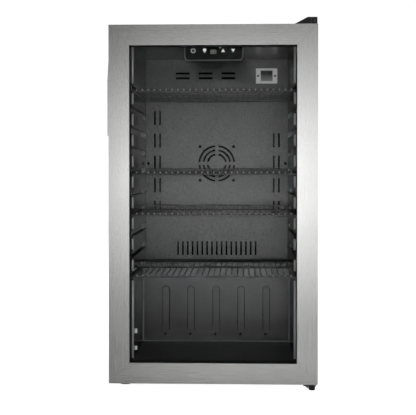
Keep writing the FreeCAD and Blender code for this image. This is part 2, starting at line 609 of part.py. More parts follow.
node("compressor", compressor_shell())
grommets = [rod("grommet_%d_%d" % (a + 1, b + 1), "z",
                ("compressor_x+%d*grommet_x" % a, COMP_Y + "+%d*grommet_y" % b), PAN_TOP,
                PAN_TOP + "+grommet_height", "grommet_radius") for a in (-1, 1) for b in (-1, 1)]
node("compressor_grommets", many("Part::Compound", "grommet_set", grommets))
node("terminal_cover", block("terminal_box", ("compressor_x-compressor_radius-terminal_width",
                                              "compressor_x-compressor_radius-fit_gap*8"),
                             (COMP_Y + "-terminal_half", COMP_Y + "+terminal_half"),
                             (PAN_TOP + "+terminal_low", PAN_TOP + "+terminal_low+terminal_height")))


def pipe_run(label, stops):
    """Round pipe along straight runs between stops, with a ball at each turn."""
    pieces = []
    for i, stop in enumerate(stops):
        ball = doc.addObject("Part::Sphere", "%s_bend_%d" % (label, i))
        bind(ball, "Radius", "pipe_radius")
        place(ball, *stop)
        pieces.append(ball)
        if i:
            before = stops[i - 1]
            axis = [k for k in range(3) if before[k] != stop[k]][0]
            at = tuple(stop[k] for k in range(3) if k != axis)
            low, high = sorted((before[axis], stop[axis]), key=value)
            pieces.append(rod("%s_run_%d" % (label, i), "xyz"[axis], at, low, high, "pipe_radius"))
    return fuse(label, *pieces)


COMP_TOP = PAN_TOP + "+grommet_height+3+compressor_height"
node("suction_pipe", pipe_run("suction", [
    ("compressor_x+compressor_radius+4", COMP_Y, PAN_TOP + "+90"),
    ("compressor_x+compressor_radius+24", COMP_Y, PAN_TOP + "+90"),
    ("compressor_x+compressor_radius+24", COMP_Y, BAY_TOP + "-10"),
    ("-door_width/2+suction_end", COMP_Y, BAY_TOP + "-10")]))
node("filter_drier", rod("drier", "x", (COMP_Y, PAN_TOP + "+40"), "-door_width/2+drier_far",
                         "-door_width/2+drier_near", "drier_radius"))
node("discharge_pipe", pipe_run("discharge", [
    ("compressor_x-compressor_radius-36", COMP_Y + "+discharge_back", PAN_TOP + "+40"),
    ("compressor_x-compressor_radius-36", COMP_Y + "+discharge_back", PAN_TOP + "+130"),
    ("-door_width/2+discharge_edge", COMP_Y + "+discharge_back", PAN_TOP + "+130"),
    ("-door_width/2+discharge_edge", COMP_Y + "+discharge_back", PAN_TOP + "+170")]))


def condenser_coil():
    """Serpentine bonded to the inside of the back panel."""
    y = CAB_BACK + "-sheet-pipe_radius"
    pieces = []
    for i in range(COIL_RUNS):
        z = "coil_low+%d*coil_pitch" % i
        pieces.append(rod("coil_run_%d" % i, "x", (y, z), "-coil_half", "coil_half", "pipe_radius"))
        if i:
            side = "-coil_half" if i % 2 else "coil_half"
            pieces.append(rod("coil_turn_%d" % i, "z", (side, y), "coil_low+%d*coil_pitch" % (i - 1), z,
                              "pipe_radius"))
    return fuse("coil", *pieces)


node("condenser", condenser_coil())


# ---------------------------------------------------------------- door
def door_skin():
    """The four stainless sections as one folded frame, before it is cut at the corners."""
    outer = block("skin_outer", mirrored(DOOR_X), (FRONT, DOOR_BACK), (DOOR_LOW, DOOR_TOP))
    tray = block("skin_tray", mirrored(DOOR_X + "-sheet"), (FRONT + "+sheet", DOOR_BACK + "+1"),
                 (DOOR_LOW + "+sheet", DOOR_TOP + "-sheet"))
    view = block("skin_view", mirrored(DOOR_X + "-frame_face"), (FRONT + "-1", FRONT + "+2"),
                 (DOOR_LOW + "+frame_face", DOOR_TOP + "-frame_face"))
    lip_ys = (FRONT + "+sheet/2", FRONT + "+sheet+skin_lip")
    lip = block("lip_outer", mirrored(DOOR_X + "-frame_face+sheet"), lip_ys,
                (DOOR_LOW + "+frame_face-sheet", DOOR_TOP + "-frame_face+sheet"))
    lip_hole = block("lip_hole", mirrored(DOOR_X + "-frame_face"), (FRONT, FRONT + "+10"),
                     (DOOR_LOW + "+frame_face", DOOR_TOP + "-frame_face"))
    return fuse("skin", cut("skin_sheet", outer, tray, view), cut("skin_lip_ring", lip, lip_hole))


CUP_Y = (FRONT + "+cup_setback", FRONT + "+cup_setback+cup_width")
CUP_Z = ("ground_gap+handle_low", "ground_gap+handle_low+handle_length")
BUSH_R = "(pin_radius+pin_play+bush_wall)"


def skin_section(label, outline, *holes):
    """One mitred section: the folded frame inside a trapezoid that narrows to 45 degrees."""
    piece = doc.addObject("Part::Common", label + "_section")
    piece.Base = door_skin()
    piece.Tool = prism(label + "_mitre", "y", outline, FRONT + "-1", DOOR_BACK + "+1")
    return cut(label + "_cut", piece, *holes) if holes else piece


def hinge_holes(label, zs):
    return rod(label, "z", (HINGE_X, HINGE_Y), *zs, BUSH_R + "+fit_gap/3")


# the mitre lines run at 45 degrees, with a hairline gap between neighbours
REACH = "(frame_face+10)"
G = "mitre_gap/2"


def rail_outline(edge, inward):
    side = DOOR_X + "-" + G
    return [("-(%s)" % side, edge), (side, edge), (side + "-" + REACH, edge + inward + REACH),
            ("-(%s-%s)" % (side, REACH), edge + inward + REACH)]


def stile_outline(sign):
    low, high = DOOR_LOW + "+" + G, DOOR_TOP + "-" + G
    return [(sign + DOOR_X, low), (sign + DOOR_X, high),
            ("%s(%s-%s)" % (sign, DOOR_X, REACH), high + "-" + REACH),
            ("%s(%s-%s)" % (sign, DOOR_X, REACH), low + "+" + REACH)]


node("top_rail", skin_section("top_rail", rail_outline(DOOR_TOP, "-"),
                              hinge_holes("top_rail_hole", (DOOR_TOP + "-3", DOOR_TOP + "+1"))))
node("bottom_rail", skin_section("bottom_rail", rail_outline(DOOR_LOW, "+"),
                                 hinge_holes("bottom_rail_hole", (DOOR_LOW + "-1", DOOR_LOW + "+3"))))
node("right_stile", skin_section("right_stile", stile_outline("")))
node("left_stile", skin_section("left_stile", stile_outline("-"),
                                block("stile_notch", ("-door_width/2-1", "-door_width/2+3"), CUP_Y, CUP_Z)))

PANE_X = "(door_width/2-frame_face+glass_overlap)"
PANE_Z = ("ground_gap+frame_face-glass_overlap", DOOR_TOP + "-frame_face+glass_overlap")
GLASS_1 = FRONT + "+sheet+skin_lip"
GLASS_2 = GLASS_1 + "+glass_thick+glass_space"


def pane(label, front):
    return block(label, mirrored(PANE_X), (front, front + "+glass_thick"), PANE_Z)


def moulded_door_frame():
    body = block("frame_body", mirrored(DOOR_X + "-sheet"), (FRONT + "+sheet", DOOR_BACK),
                 (DOOR_LOW + "+sheet", DOOR_TOP + "-sheet"))
    seat = block("frame_seat", mirrored(PANE_X + "+glass_seat"), (FRONT, GLASS_2 + "+glass_thick"),
                 (PANE_Z[0] + "-glass_seat", PANE_Z[1] + "+glass_seat"))
    rear = block("frame_rear", mirrored(PANE_X + "-liner_lip"), (FRONT, DOOR_BACK + "+1"),
                 (PANE_Z[0] + "+liner_lip", PANE_Z[1] + "-liner_lip"))
    cup = block("frame_cup", ("-door_width/2", "-door_width/2+cup_depth"), CUP_Y, CUP_Z)
    top = hinge_holes("frame_top_hole", (DOOR_TOP + "-bush_depth", DOOR_TOP))
    low = hinge_holes("frame_low_hole", (DOOR_LOW, DOOR_LOW + "+bush_depth"))
    return cut("frame", body, seat, rear, cup, top, low)


node("door_liner", moulded_door_frame())
node("outer_glass", pane("pane_out", GLASS_1))
node("inner_glass", pane("pane_in", GLASS_2))
node("glass_spacer", cut("spacer_ring", block("spacer_outer", mirrored(PANE_X + "-2"),
                                              (GLASS_1 + "+glass_thick", GLASS_2),
                                              (PANE_Z[0] + "+2", PANE_Z[1] + "-2")),
                         block("spacer_inner", mirrored(PANE_X + "-8"), (FRONT, DOOR_BACK),
                               (PANE_Z[0] + "+8", PANE_Z[1] + "-8"))))


def ring(label, edge, width, ys):
    """A rectangular ring that runs at a distance in from the door's edge."""
    outer = block(label + "_outer", mirrored(DOOR_X + "-" + edge), ys,
                  (DOOR_LOW + "+" + edge, DOOR_TOP + "-" + edge))
    inner = block(label + "_inner", mirrored("%s-%s-%s" % (DOOR_X, edge, width)),
                  (ys[0] + "-1", ys[1] + "+1"),
                  ("%s+%s+%s" % (DOOR_LOW, edge, width), "%s-%s-%s" % (DOOR_TOP, edge, width)))
    return cut(label, outer, inner)


GASKET_Y = (DOOR_BACK, CAB_FRONT + "-fit_gap")
MAGNET_EDGE = "(gasket_edge+gasket_width/2-magnet_width/2)"
MAGNET_Y = (CAB_FRONT + "-fit_gap-1-magnet_depth", CAB_FRONT + "-fit_gap-1")
node("gasket", cut("seal", ring("seal_ring", "gasket_edge", "gasket_width", GASKET_Y),
                   ring("seal_channel", MAGNET_EDGE, "magnet_width", MAGNET_Y)))
M_OUT = DOOR_X + "-" + MAGNET_EDGE
strips = []
for side in (-1, 1):
    inner_x = "%d*(%s-magnet_width)" % (side, M_OUT)
    outer_x = "%d*(%s)" % (side, M_OUT)
    xs = (inner_x, outer_x) if side > 0 else (outer_x, inner_x)
    strips.append(block("magnet_side_%d" % (side + 1), xs, MAGNET_Y,
                        (DOOR_LOW + "+" + MAGNET_EDGE + "+12", DOOR_TOP + "-" + MAGNET_EDGE + "-12")))
for name, low in (("low", DOOR_LOW + "+" + MAGNET_EDGE),
                  ("top", DOOR_TOP + "-" + MAGNET_EDGE + "-magnet_width")):
    strips.append(block("magnet_" + name, mirrored(M_OUT + "-12"), MAGNET_Y, (low, low + "+magnet_width")))
node("magnet_strips", many("Part::Compound", "magnet_set", strips))


def pull_lip():
    """A finger cup let into the door's left edge, with a thin lip that tapers away upwards."""
    edge = "-door_width/2"
    cup = block("cup", (edge, edge + "+cup_depth"), CUP_Y, CUP_Z)
    room = block("cup_room", (edge + "-4", edge + "+cup_depth-cup_wall"),
                 (CUP_Y[0] + "+cup_wall", CUP_Y[1] + "-cup_wall"),
                 (CUP_Z[0] + "+cup_wall", CUP_Z[1] + "-cup_wall"))
    lip = prism("lip", "y", [(edge, CUP_Z[0]), (edge, CUP_Z[1]), (edge + "-0.4", CUP_Z[1]),
                             (edge + "-lip_proud", CUP_Z[1] + "-lip_taper"), (edge + "-lip_proud", CUP_Z[0])],
                FRONT + "+1", CUP_Y[0] + "+cup_wall")
    return fuse("handle", cut("cup_moulding", cup, room), lip)


node("door_handle", pull_lip())
bushes = []
for name, zs in (("top", (DOOR_TOP + "-bush_depth", DOOR_TOP)),
                 ("low", (DOOR_LOW, DOOR_LOW + "+bush_depth"))):
    sleeve = rod("bush_" + name, "z", (HINGE_X, HINGE_Y), *zs, BUSH_R)
    bore = rod("bush_bore_" + name, "z", (HINGE_X, HINGE_Y), zs[0] + "-1", zs[1] + "+1",
               "pin_radius+pin_play")
    bushes.append(cut("bush_cut_" + name, sleeve, bore))
node("hinge_bushes", many("Part::Compound", "bush_set", bushes))


# ---------------------------------------------------------------- hinges and feet
def z_plate(label, low, drop, xs):
    """A bracket bent like a Z: its tail lies on the cabinet, its nose stands off by "drop"."""
    tail, nose = CAB_FRONT + "+bracket_tail", FRONT + "+bracket_reach"
    bend = CAB_FRONT + "+6"
    thick = "bracket_thick"
    points = [(tail, low), (bend, low), (bend + "-6", low + drop), (nose, low + drop),
              (nose, low + drop + "+" + thick), (bend + "-5", low + drop + "+" + thick),
              (bend + "+1", low + "+" + thick), (tail, low + "+" + thick)]
    return prism(label, "x", points, *xs)


BRACKET_X = (HINGE_X + "-16", CAB_X + "-hinge_cover_wall-fit_gap")
HINGE_SCREW_Y = [CAB_FRONT + "+20", CAB_FRONT + "+46"]
HINGE_SCREWS = [(x, y) for x in (HINGE_X + "-9", HINGE_X + "+3") for y in HINGE_SCREW_Y]


def hinge_bracket(label, low, drop, hole):
    holes = [rod("%s_screw_%d" % (label, i), "z", at, low + "-2", low + "+5", "hinge_screw_radius")
             for i, at in enumerate(HINGE_SCREWS)]
    pin = rod(label + "_pin", "z", (HINGE_X, HINGE_Y), low + drop + "-2", low + drop + "+6", hole)
    return cut(label, z_plate(label + "_plate", low, drop, BRACKET_X), pin, *holes)


TOP_LIFT = "+top_inset+bracket_gap"
node("top_hinge_bracket", hinge_bracket("hinge_top", CAB_TOP, TOP_LIFT, "pin_radius"))
LOW_PLATE = "(ground_gap-bracket_thick)"
gusset = prism("gusset", "y", [(HINGE_X + "-20", LOW_PLATE), (HINGE_X + "-foot_radius-1.5", "4"),
                               (HINGE_X + "-foot_radius-1.5", LOW_PLATE)],
               FRONT + "+bracket_reach+2", FRONT + "+bracket_reach+5")
low_bracket = hinge_bracket("hinge_low", LOW_PLATE, "-3", "pin_radius+fit_gap")
gusset_link = block("gusset_link", (HINGE_X + "-20", HINGE_X + "-foot_radius-1.5"),
                    (FRONT + "+bracket_reach+2", FRONT + "+bracket_reach+5"),
                    (LOW_PLATE + "-3", LOW_PLATE))
node("bottom_hinge_bracket", fuse("low_bracket", low_bracket, gusset, gusset_link))

PIN_TOP = CAB_TOP + TOP_LIFT + "+bracket_thick"
top_shank = rod("top_pin_shank", "z", (HINGE_X, HINGE_Y), DOOR_TOP + "-bush_depth+2", PIN_TOP, "pin_radius")
top_head = rod("top_pin_head", "z", (HINGE_X, HINGE_Y), PIN_TOP, PIN_TOP + "+3", "pin_radius+3")
node("top_hinge_pin", fuse("top_pin", top_shank, top_head))

hinge_screws = []
for i, at in enumerate(HINGE_SCREWS):
    top = fuse("top_screw_%d" % i,
               rod("top_screw_%d_shank" % i, "z", at, CAB_TOP, CAB_TOP + "+bracket_thick",
                   "hinge_screw_radius"),
               rod("top_screw_%d_head" % i, "z", at, CAB_TOP + "+bracket_thick",
                   CAB_TOP + "+bracket_thick+2.5", "hinge_screw_radius*1.8"))
    low = fuse("low_screw_%d" % i,
               rod("low_screw_%d_shank" % i, "z", at, LOW_PLATE, "ground_gap", "hinge_screw_radius"),
               rod("low_screw_%d_head" % i, "z", at, LOW_PLATE + "-2.5", LOW_PLATE,
                   "hinge_screw_radius*1.8"))
    hinge_screws += [top, low]
node("hinge_screws", many("Part::Compound", "hinge_screw_set", hinge_screws))

COVER_Y = (FRONT + "+bracket_reach-2", CAB_FRONT + "+bracket_tail+6")


def hinge_cap():
    """A hollow cap over the top bracket, its left side sloping down to a thin edge."""
    left, right = "(door_width/2-side_inset-hinge_cover_width)", CAB_X
    base = DOOR_TOP + "+0.8"
    top = DOOR_TOP + "+hinge_cover_top"

    def outline(inset):
        low = base + "-1" if inset != "0" else base
        return [("%s+%s*2" % (left, inset), low),
                (left + "+hinge_cover_slope+%s/2" % inset, "%s-%s" % (top, inset)),
                ("%s-%s" % (right, inset), "%s-%s" % (top, inset)), ("%s-%s" % (right, inset), low)]

    cap = prism("cap_outer", "y", outline("0"), *COVER_Y)
    skirt = block("cap_skirt", (left, right), (CAB_FRONT + "+0.5", COVER_Y[1]), (CAB_TOP, base + "+0.5"))
    room = prism("cap_room", "y", outline("hinge_cover_wall"), COVER_Y[0] + "+hinge_cover_wall",
                 COVER_Y[1] + "-hinge_cover_wall")
    skirt_room = block("cap_skirt_room", (left + "+hinge_cover_wall*2", right + "-hinge_cover_wall"),
                       (CAB_FRONT, COVER_Y[1] + "-hinge_cover_wall"), (CAB_TOP + "-1", base + "+0.6"))
    return cut("cap", fuse("cap_blank", cap, skirt), room, skirt_room)


node("top_hinge_cover", hinge_cap())

foot_pad = rod("right_pad", "z", (HINGE_X, HINGE_Y), "0", "foot_height", "foot_radius")
foot_pin = rod("right_pin", "z", (HINGE_X, HINGE_Y), "foot_height-1", DOOR_LOW + "+bush_depth-3",
               "pin_radius")
node("right_foot", fuse("right_levelling", foot_pad, foot_pin))
left_pad = rod("left_pad", "z", LEFT_FOOT, "0", "foot_height", "left_foot_radius")
left_stud = rod("left_stud", "z", LEFT_FOOT, "foot_height-1", "ground_gap+20", "stud_radius")
node("left_foot", fuse("left_levelling", left_pad, left_stud))
rear_feet = [rod("rear_foot_%d" % (side + 1), "z",
                 ("%d*(door_width/2-rear_foot_inset)" % side, CAB_BACK + "-rear_foot_inset"),
                 "0", "ground_gap", "rear_foot_radius") for side in (-1, 1)]
node("rear_feet", many("Part::Compound", "rear_foot_set", rear_feet))


# ---------------------------------------------------------------- wire shelves
SHELF_X = "(inner_width/2+groove_depth-1)"
SHELF_FRONT = CAB_FRONT + "+shelf_setback"


def wire_shelf(label, row, rear):
    """Bent wires welded on a rim, with a raised rail along the back."""
    z = "(first_shelf-%d*groove_pitch)" % row
    x = SHELF_X + "-rim_radius"
    lift = "(rim_radius+wire_radius-0.6)"
    pieces = [rod(label + "_front", "x", (SHELF_FRONT, z), "-(%s)" % x, x, "rim_radius"),
              rod(label + "_back", "x", (rear, z), "-(%s)" % x, x, "rim_radius"),
              rod(label + "_rail", "x", (rear, z + "+rail_rise"), "-(inner_width/2-wire_inset+wire_radius)",
                  "inner_width/2-wire_inset+wire_radius", "wire_radius")]
    for side in ("-", ""):
        at = ("%s(%s)" % (side, x), z)
        pieces.append(rod(label + "_side" + ("_left" if side else "_right"), "y", at, SHELF_FRONT, rear,
                          "rim_radius"))
        for name, y in (("near", SHELF_FRONT), ("far", rear)):
            ball = doc.addObject("Part::Sphere", "%s_%s_%s" % (label, name, "left" if side else "right"))
            bind(ball, "Radius", "rim_radius")
            place(ball, at[0], y, z)
            pieces.append(ball)
    pitch = "(inner_width-2*wire_inset)/%d" % (WIRES - 1)
    for i in range(WIRES):
        wire_x = "-inner_width/2+wire_inset+%d*%s" % (i, pitch)
        pieces.append(rod("%s_wire_%d" % (label, i), "y", (wire_x, z + "+" + lift),
                          SHELF_FRONT + "-rim_radius*0.8", rear + "+wire_radius/2", "wire_radius"))
        pieces.append(rod("%s_post_%d" % (label, i), "z", (wire_x, rear), z + "+" + lift + "-wire_radius/2",
                          z + "+rail_rise", "wire_radius*0.95"))
    return fuse(label + "_grid", *pieces)


FULL_REAR = COVER_FRONT + "-shelf_play"
SHORT_REAR = STEP_FRONT + "-shelf_play"
SHELVES = [(0, FULL_REAR), (4, FULL_REAR), (6, FULL_REAR), (9, SHORT_REAR)]
for number, (row, rear) in enumerate(SHELVES, start=1):
    node("shelf_%d" % number, wire_shelf("shelf%d" % number, row, rear))

# ---------------------------------------------------------------- build, check, write
doc.recompute()
bad = [thing.Label for thing in doc.Objects if {"Invalid", "Error"} & set(thing.State)]
bad += [piece.Label for piece in nodes if piece.Shape.isNull() or not piece.Shape.isValid()]
if bad:
    raise SystemExit("failed: " + ", ".join(bad))
os.makedirs("parts", exist_ok=True)
for piece in nodes:
    piece.Shape.exportStep("parts/%s.step" % piece.Label)
    print("%-22s solids %2d  volume %10.1f" % (piece.Label, len(piece.Shape.Solids), piece.Shape.Volume))
print(len(nodes), "nodes")
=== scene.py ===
# %% [markdown]
# # A glass-door drinks cooler
# The cooler arrives as a fixed frame of separate parts: cabinet, door, shelves, fan, keys and feet.
# This notebook dresses that frame. Each step says what the piece or finish is on the real cooler,
# how it could be made, and why it is made this way here. Everything is in metres, the door faces
# -Y and Z is up.

# %% Load the frame
import math

import bmesh
import bpy
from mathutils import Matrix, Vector


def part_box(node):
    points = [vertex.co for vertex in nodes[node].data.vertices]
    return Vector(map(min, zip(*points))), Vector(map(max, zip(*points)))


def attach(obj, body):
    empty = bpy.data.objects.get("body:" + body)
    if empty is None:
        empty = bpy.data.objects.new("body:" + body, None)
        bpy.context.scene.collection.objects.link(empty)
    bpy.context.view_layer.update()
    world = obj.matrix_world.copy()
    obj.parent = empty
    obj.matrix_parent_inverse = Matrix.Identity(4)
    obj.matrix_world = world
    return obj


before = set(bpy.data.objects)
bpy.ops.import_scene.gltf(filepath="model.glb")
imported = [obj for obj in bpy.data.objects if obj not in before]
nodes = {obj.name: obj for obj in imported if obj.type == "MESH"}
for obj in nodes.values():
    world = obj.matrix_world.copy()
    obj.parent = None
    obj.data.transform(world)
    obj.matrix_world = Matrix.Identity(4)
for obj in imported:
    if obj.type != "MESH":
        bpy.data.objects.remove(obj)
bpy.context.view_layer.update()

# %% [markdown]
# ## Places that later cells share
# A maker reads places off the parts instead of typing them again. The door's front, the inside
# width of the food compartment and the front of the key panel are used by many cells below.

# %% Places
PANEL_GAP = 0.0006
door_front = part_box("left_stile")[0].y
fascia_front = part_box("control_fascia")[0].y
cabinet_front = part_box("inner_liner")[0].y
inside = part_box("evaporator_cover")[1].x + PANEL_GAP
print("door front at", round(door_front, 4), "half the inside width", round(inside, 4))

# %% [markdown]
# ## A small kit for finishes
# Every finish here is a Principled shader whose colour, roughness and surface height are stirred by
# noise measured in real millimetres. One helper builds the noise, and each finish then has its own
# cell with its own numbers. Object coordinates are used because they stay with a part as it moves.


# %% Helpers for node finishes
def new_finish(name):
    finish = bpy.data.materials.new(name)
    finish.use_nodes = True
    tree = finish.node_tree
    return finish, tree, tree.nodes["Principled BSDF"]


def grain_noise(tree, size, stretch=(1, 1, 1), detail=4.0, blur=0.55):
    """Noise whose blobs are size metres across, stretched along an axis when stretch is below 1."""
    where = tree.nodes.new("ShaderNodeTexCoord")
    scale = tree.nodes.new("ShaderNodeMapping")
    scale.inputs["Scale"].default_value = [s / size for s in stretch]
    noise = tree.nodes.new("ShaderNodeTexNoise")
    noise.inputs["Scale"].default_value = 1.0
    noise.inputs["Detail"].default_value = detail
    noise.inputs["Roughness"].default_value = blur
    tree.links.new(where.outputs["Object"], scale.inputs["Vector"])
    tree.links.new(scale.outputs["Vector"], noise.inputs["Vector"])
    return noise.outputs["Fac"]


def spread(tree, source, low, high, from_low=0.3, from_high=0.7):
    """Noise turned into a value between low and high."""
    remap = tree.nodes.new("ShaderNodeMapRange")
    for name, number in (("From Min", from_low), ("From Max", from_high), ("To Min", low), ("To Max", high)):
        remap.inputs[name].default_value = number
    tree.links.new(source, remap.inputs["Value"])
    return remap.outputs["Result"]


def between(tree, source, dark, light):
    """A colour between two, by a 0 to 1 value."""
    mix = tree.nodes.new("ShaderNodeMix")
    mix.data_type = "RGBA"
    mix.inputs["A"].default_value = (*dark, 1)
    mix.inputs["B"].default_value = (*light, 1)
    tree.links.new(source, mix.inputs["Factor"])
    return mix.outputs["Result"]


def combined(tree, operation, first, second):
    """Two values joined into one by a sum, a product, or the smaller or larger of them."""
    both = tree.nodes.new("ShaderNodeMath")
    both.operation = operation
    tree.links.new(first, both.inputs[0])
    tree.links.new(second, both.inputs[1])
    return both.outputs["Value"]


def dent(tree, shader, source, depth, strength=1.0):
    bump = tree.nodes.new("ShaderNodeBump")
    bump.inputs["Distance"].default_value = depth
    bump.inputs["Strength"].default_value = strength
    tree.links.new(source, bump.inputs["Height"])
    tree.links.new(bump.outputs["Normal"], shader.inputs["Normal"])


# %% A stirred finish, and a glow or painted light on it
def stirred(name, dark, light, rough, size, depth, metal=0.0, gloss=0.5, coat=0.0, density=1.5):
    """A finish with stirred colour, roughness and height: the base of most cells below."""
    finish, tree, shader = new_finish(name)
    fine = grain_noise(tree, size)
    broad = grain_noise(tree, size * 30, detail=2.0)
    tree.links.new(between(tree, spread(tree, broad, 0, 1), dark, light), shader.inputs["Base Color"])
    tree.links.new(spread(tree, fine, *rough), shader.inputs["Roughness"])
    shader.inputs["Metallic"].default_value = metal
    shader.inputs["Specular IOR Level"].default_value = gloss
    shader.inputs["Coat Weight"].default_value = coat
    shader.inputs["IOR"].default_value = density
    dent(tree, shader, fine, depth)
    return finish


def glow_or_painted_light(finish, power, colour=(1, 1, 1)):
    """A faint emission: the glow a lit sign gives off, or a painted highlight or glow on a small part that is
    no lamp.
    """
    shader = finish.node_tree.nodes["Principled BSDF"]
    shader.inputs["Emission Color"].default_value = (*colour, 1)
    shader.inputs["Emission Strength"].default_value = power


# %% [markdown]
# ## Dressing a part
# A frame part keeps its shape and place and only takes a finish. Where a real edge is bent or moulded,
# a bevel modifier breaks the sharp corner so that it catches a thin line of light.


# %% Helpers for parts
def dress(finish, *names):
    """Give CAD parts a finish."""
    for name in names:
        nodes[name].data.materials.clear()
        nodes[name].data.materials.append(finish)
    print(finish.name, "on", ", ".join(names))


SHARP_ANGLE = 35


def soften(width, *names, steps=2):
    """Break the sharp edges of parts, as every bent or moulded edge is."""
    for name in names:
        edge = nodes[name].modifiers.new("broken edges", "BEVEL")
        edge.width = width
        edge.segments = steps
        edge.limit_method = "ANGLE"
        edge.angle_limit = math.radians(SHARP_ANGLE)
        edge.use_clamp_overlap = True
        edge.harden_normals = False


# %% [markdown]
# ## Brushed stainless door frame
# The door frame is four folded stainless sections, mitred like a picture frame. The belt leaves
# hair-thin scratches along each section. Long noise stretched along the section gives that grain, so
# rails and stiles need a finish each. The scratches move the roughness and a few microns of height.


# %% Stainless
HAIR_STRETCH = 0.012
LEVEL, UPRIGHT = 0, 2


def brushed(name, along):
    finish, tree, shader = new_finish(name)
    stretch = [1.0, 1.0, 1.0]
    stretch[along] = HAIR_STRETCH
    hair = grain_noise(tree, 0.0007, stretch, detail=5.0, blur=0.65)
    cloud = grain_noise(tree, 0.11, detail=2.0)
    tone = between(tree, spread(tree, hair, 0, 1, 0.25, 0.75), (0.505, 0.505, 0.5), (0.58, 0.578, 0.572))
    tree.links.new(tone, shader.inputs["Base Color"])
    rough = combined(tree, "ADD", spread(tree, hair, 0.24, 0.30), spread(tree, cloud, -0.01, 0.015))
    tree.links.new(rough, shader.inputs["Roughness"])
    shader.inputs["Metallic"].default_value = 1.0
    dent(tree, shader, hair, 0.000008, 0.5)
    return finish


steel_upright = brushed("stainless_upright", UPRIGHT)
steel_level = brushed("stainless_level", LEVEL)
dress(steel_upright, "left_stile", "right_stile", "door_handle")
dress(steel_level, "top_rail", "bottom_rail")
soften(0.0007, "left_stile", "right_stile", "top_rail", "bottom_rail")
soften(0.0005, "door_handle")

# %% [markdown]
# ## Black cabinet paint
# The wrap-around sheet is powder coated. Powder flows into soft bumps about a millimetre apart, known
# as orange peel, which breaks up reflections on the flat sides.

# %% Painted sheet
cabinet_paint = stirred("cabinet_paint", (0.018, 0.018, 0.019), (0.028, 0.028, 0.029), (0.34, 0.48),
                        0.0014, 0.00006)
dress(cabinet_paint, "cabinet_shell", "compressor_cover", "bottom_hinge_bracket")
raw_back = stirred("back_sheet", (0.014, 0.014, 0.015), (0.024, 0.024, 0.025), (0.45, 0.62), 0.002, 0.00005)
dress(raw_back, "back_panel", "base_plate", "bay_partition", "condenser")
soften(0.0008, "cabinet_shell", "base_plate")

# %% [markdown]
# ## Moulded liner and back panel
# The liner is one sheet of black plastic drawn over a mould, glossy where it met the mould's polished
# sides and left grained on the floor and the step's top, where jars slide and drips would show. One
# finish does both: it reads which way the surface faces and turns upward surfaces dull. The step's
# front is a little less polished, and the left wall a little more. The slotted panel at the back is
# a separate moulding with a satin face, a shade lighter.

# %% Liner plastics
liner_gloss = stirred("liner_gloss", (0.026, 0.026, 0.027), (0.036, 0.036, 0.037), (0.2, 0.27), 0.0022,
                      0.000004, gloss=0.9, density=1.7)


def polish_by_side(finish):
    """Less gloss on upward and forward faces, and a finer polish on faces that look to the right."""
    tree = finish.node_tree
    shader = tree.nodes["Principled BSDF"]
    face = tree.nodes.new("ShaderNodeNewGeometry")
    side = tree.nodes.new("ShaderNodeSeparateXYZ")
    tree.links.new(face.outputs["Normal"], side.inputs["Vector"])
    forward_gloss = spread(tree, side.outputs["Y"], 0.8, 0.9, -0.95, -0.5)
    upward_gloss = spread(tree, side.outputs["Z"], 0.9, 0.6, 0.3, 0.8)
    least = combined(tree, "MINIMUM", forward_gloss, upward_gloss)
    tree.links.new(least, shader.inputs["Specular IOR Level"])
    moulded = shader.inputs["Roughness"].links[0].from_socket
    finer = combined(tree, "MULTIPLY", moulded, spread(tree, side.outputs["X"], 1, 0.45, 0.5, 0.95))
    upward_grain = spread(tree, side.outputs["Z"], 0.0, 0.42, 0.3, 0.8)
    tree.links.new(combined(tree, "MAXIMUM", finer, upward_grain), shader.inputs["Roughness"])


polish_by_side(liner_gloss)
dress(liner_gloss, "inner_liner")
panel_satin = stirred("panel_satin", (0.040, 0.040, 0.041), (0.052, 0.052, 0.053), (0.25, 0.32), 0.0012,
                      0.000005, gloss=1.0)
dress(panel_satin, "evaporator_cover")

# %% [markdown]
# ## Other black plastics and rubber
# Small mouldings share a spark-eroded texture: sharp specks a fraction of a millimetre across. The
# seal and the rear feet are softer and duller, with a slightly grey bloom.

# %% Mouldings and rubber
moulding = stirred("black_moulding", (0.010, 0.010, 0.010), (0.018, 0.018, 0.018), (0.42, 0.6), 0.0007,
                   0.00004)
dress(moulding, "wall_spacers", "power_gland", "drain_tube", "top_hinge_cover", "terminal_cover",
      "door_liner", "hinge_bushes", "left_foot", "right_foot")
soften(0.0009, "top_hinge_cover", "control_housing", "wall_spacers", "terminal_cover", "fan_frame")
soften(0.0012, "right_foot", "left_foot")
seal_rubber = stirred("seal_rubber", (0.016, 0.016, 0.016), (0.03, 0.03, 0.03), (0.6, 0.78), 0.0009,
                      0.00005, gloss=0.35)
dress(seal_rubber, "gasket", "magnet_strips", "rear_feet", "compressor_grommets")

# %% [markdown]
# ## Wires, screws and machine parts
# Shelves are bent from steel wire and dipped in a dark grey coating; hinge and rear screws are zinc
# plated; the evaporator is aluminium with a dull black coat, whose near-black colour is also painted
# shade that keeps anything from shining through the slots. The compressor is dipped in thick gloss
# enamel, and its pipes are drawn copper that has started to brown.

# %% Metals
shelf_wire = stirred("shelf_wire", (0.13, 0.13, 0.131), (0.18, 0.18, 0.181), (0.2, 0.3), 0.003, 0.00001,
                     gloss=1.0, density=1.8)
dress(shelf_wire, "shelf_1", "shelf_2", "shelf_3", "shelf_4")
zinc = stirred("zinc_plate", (0.36, 0.37, 0.38), (0.5, 0.5, 0.49), (0.25, 0.45), 0.0009, 0.00002, metal=1.0)
dress(zinc, "rear_screws", "hinge_screws", "top_hinge_bracket", "top_hinge_pin")
black_screw = stirred("black_screw", (0.004, 0.004, 0.004), (0.008, 0.008, 0.008), (0.6, 0.75), 0.0006,
                      0.00002, gloss=0.1)
dress(black_screw, "panel_screws", "lamp_screws")
plain_aluminium = stirred("plain_aluminium", (0.16, 0.16, 0.165), (0.24, 0.24, 0.245), (0.4, 0.6), 0.002,
                          0.00002, metal=1.0)
dress(plain_aluminium, "glass_spacer")
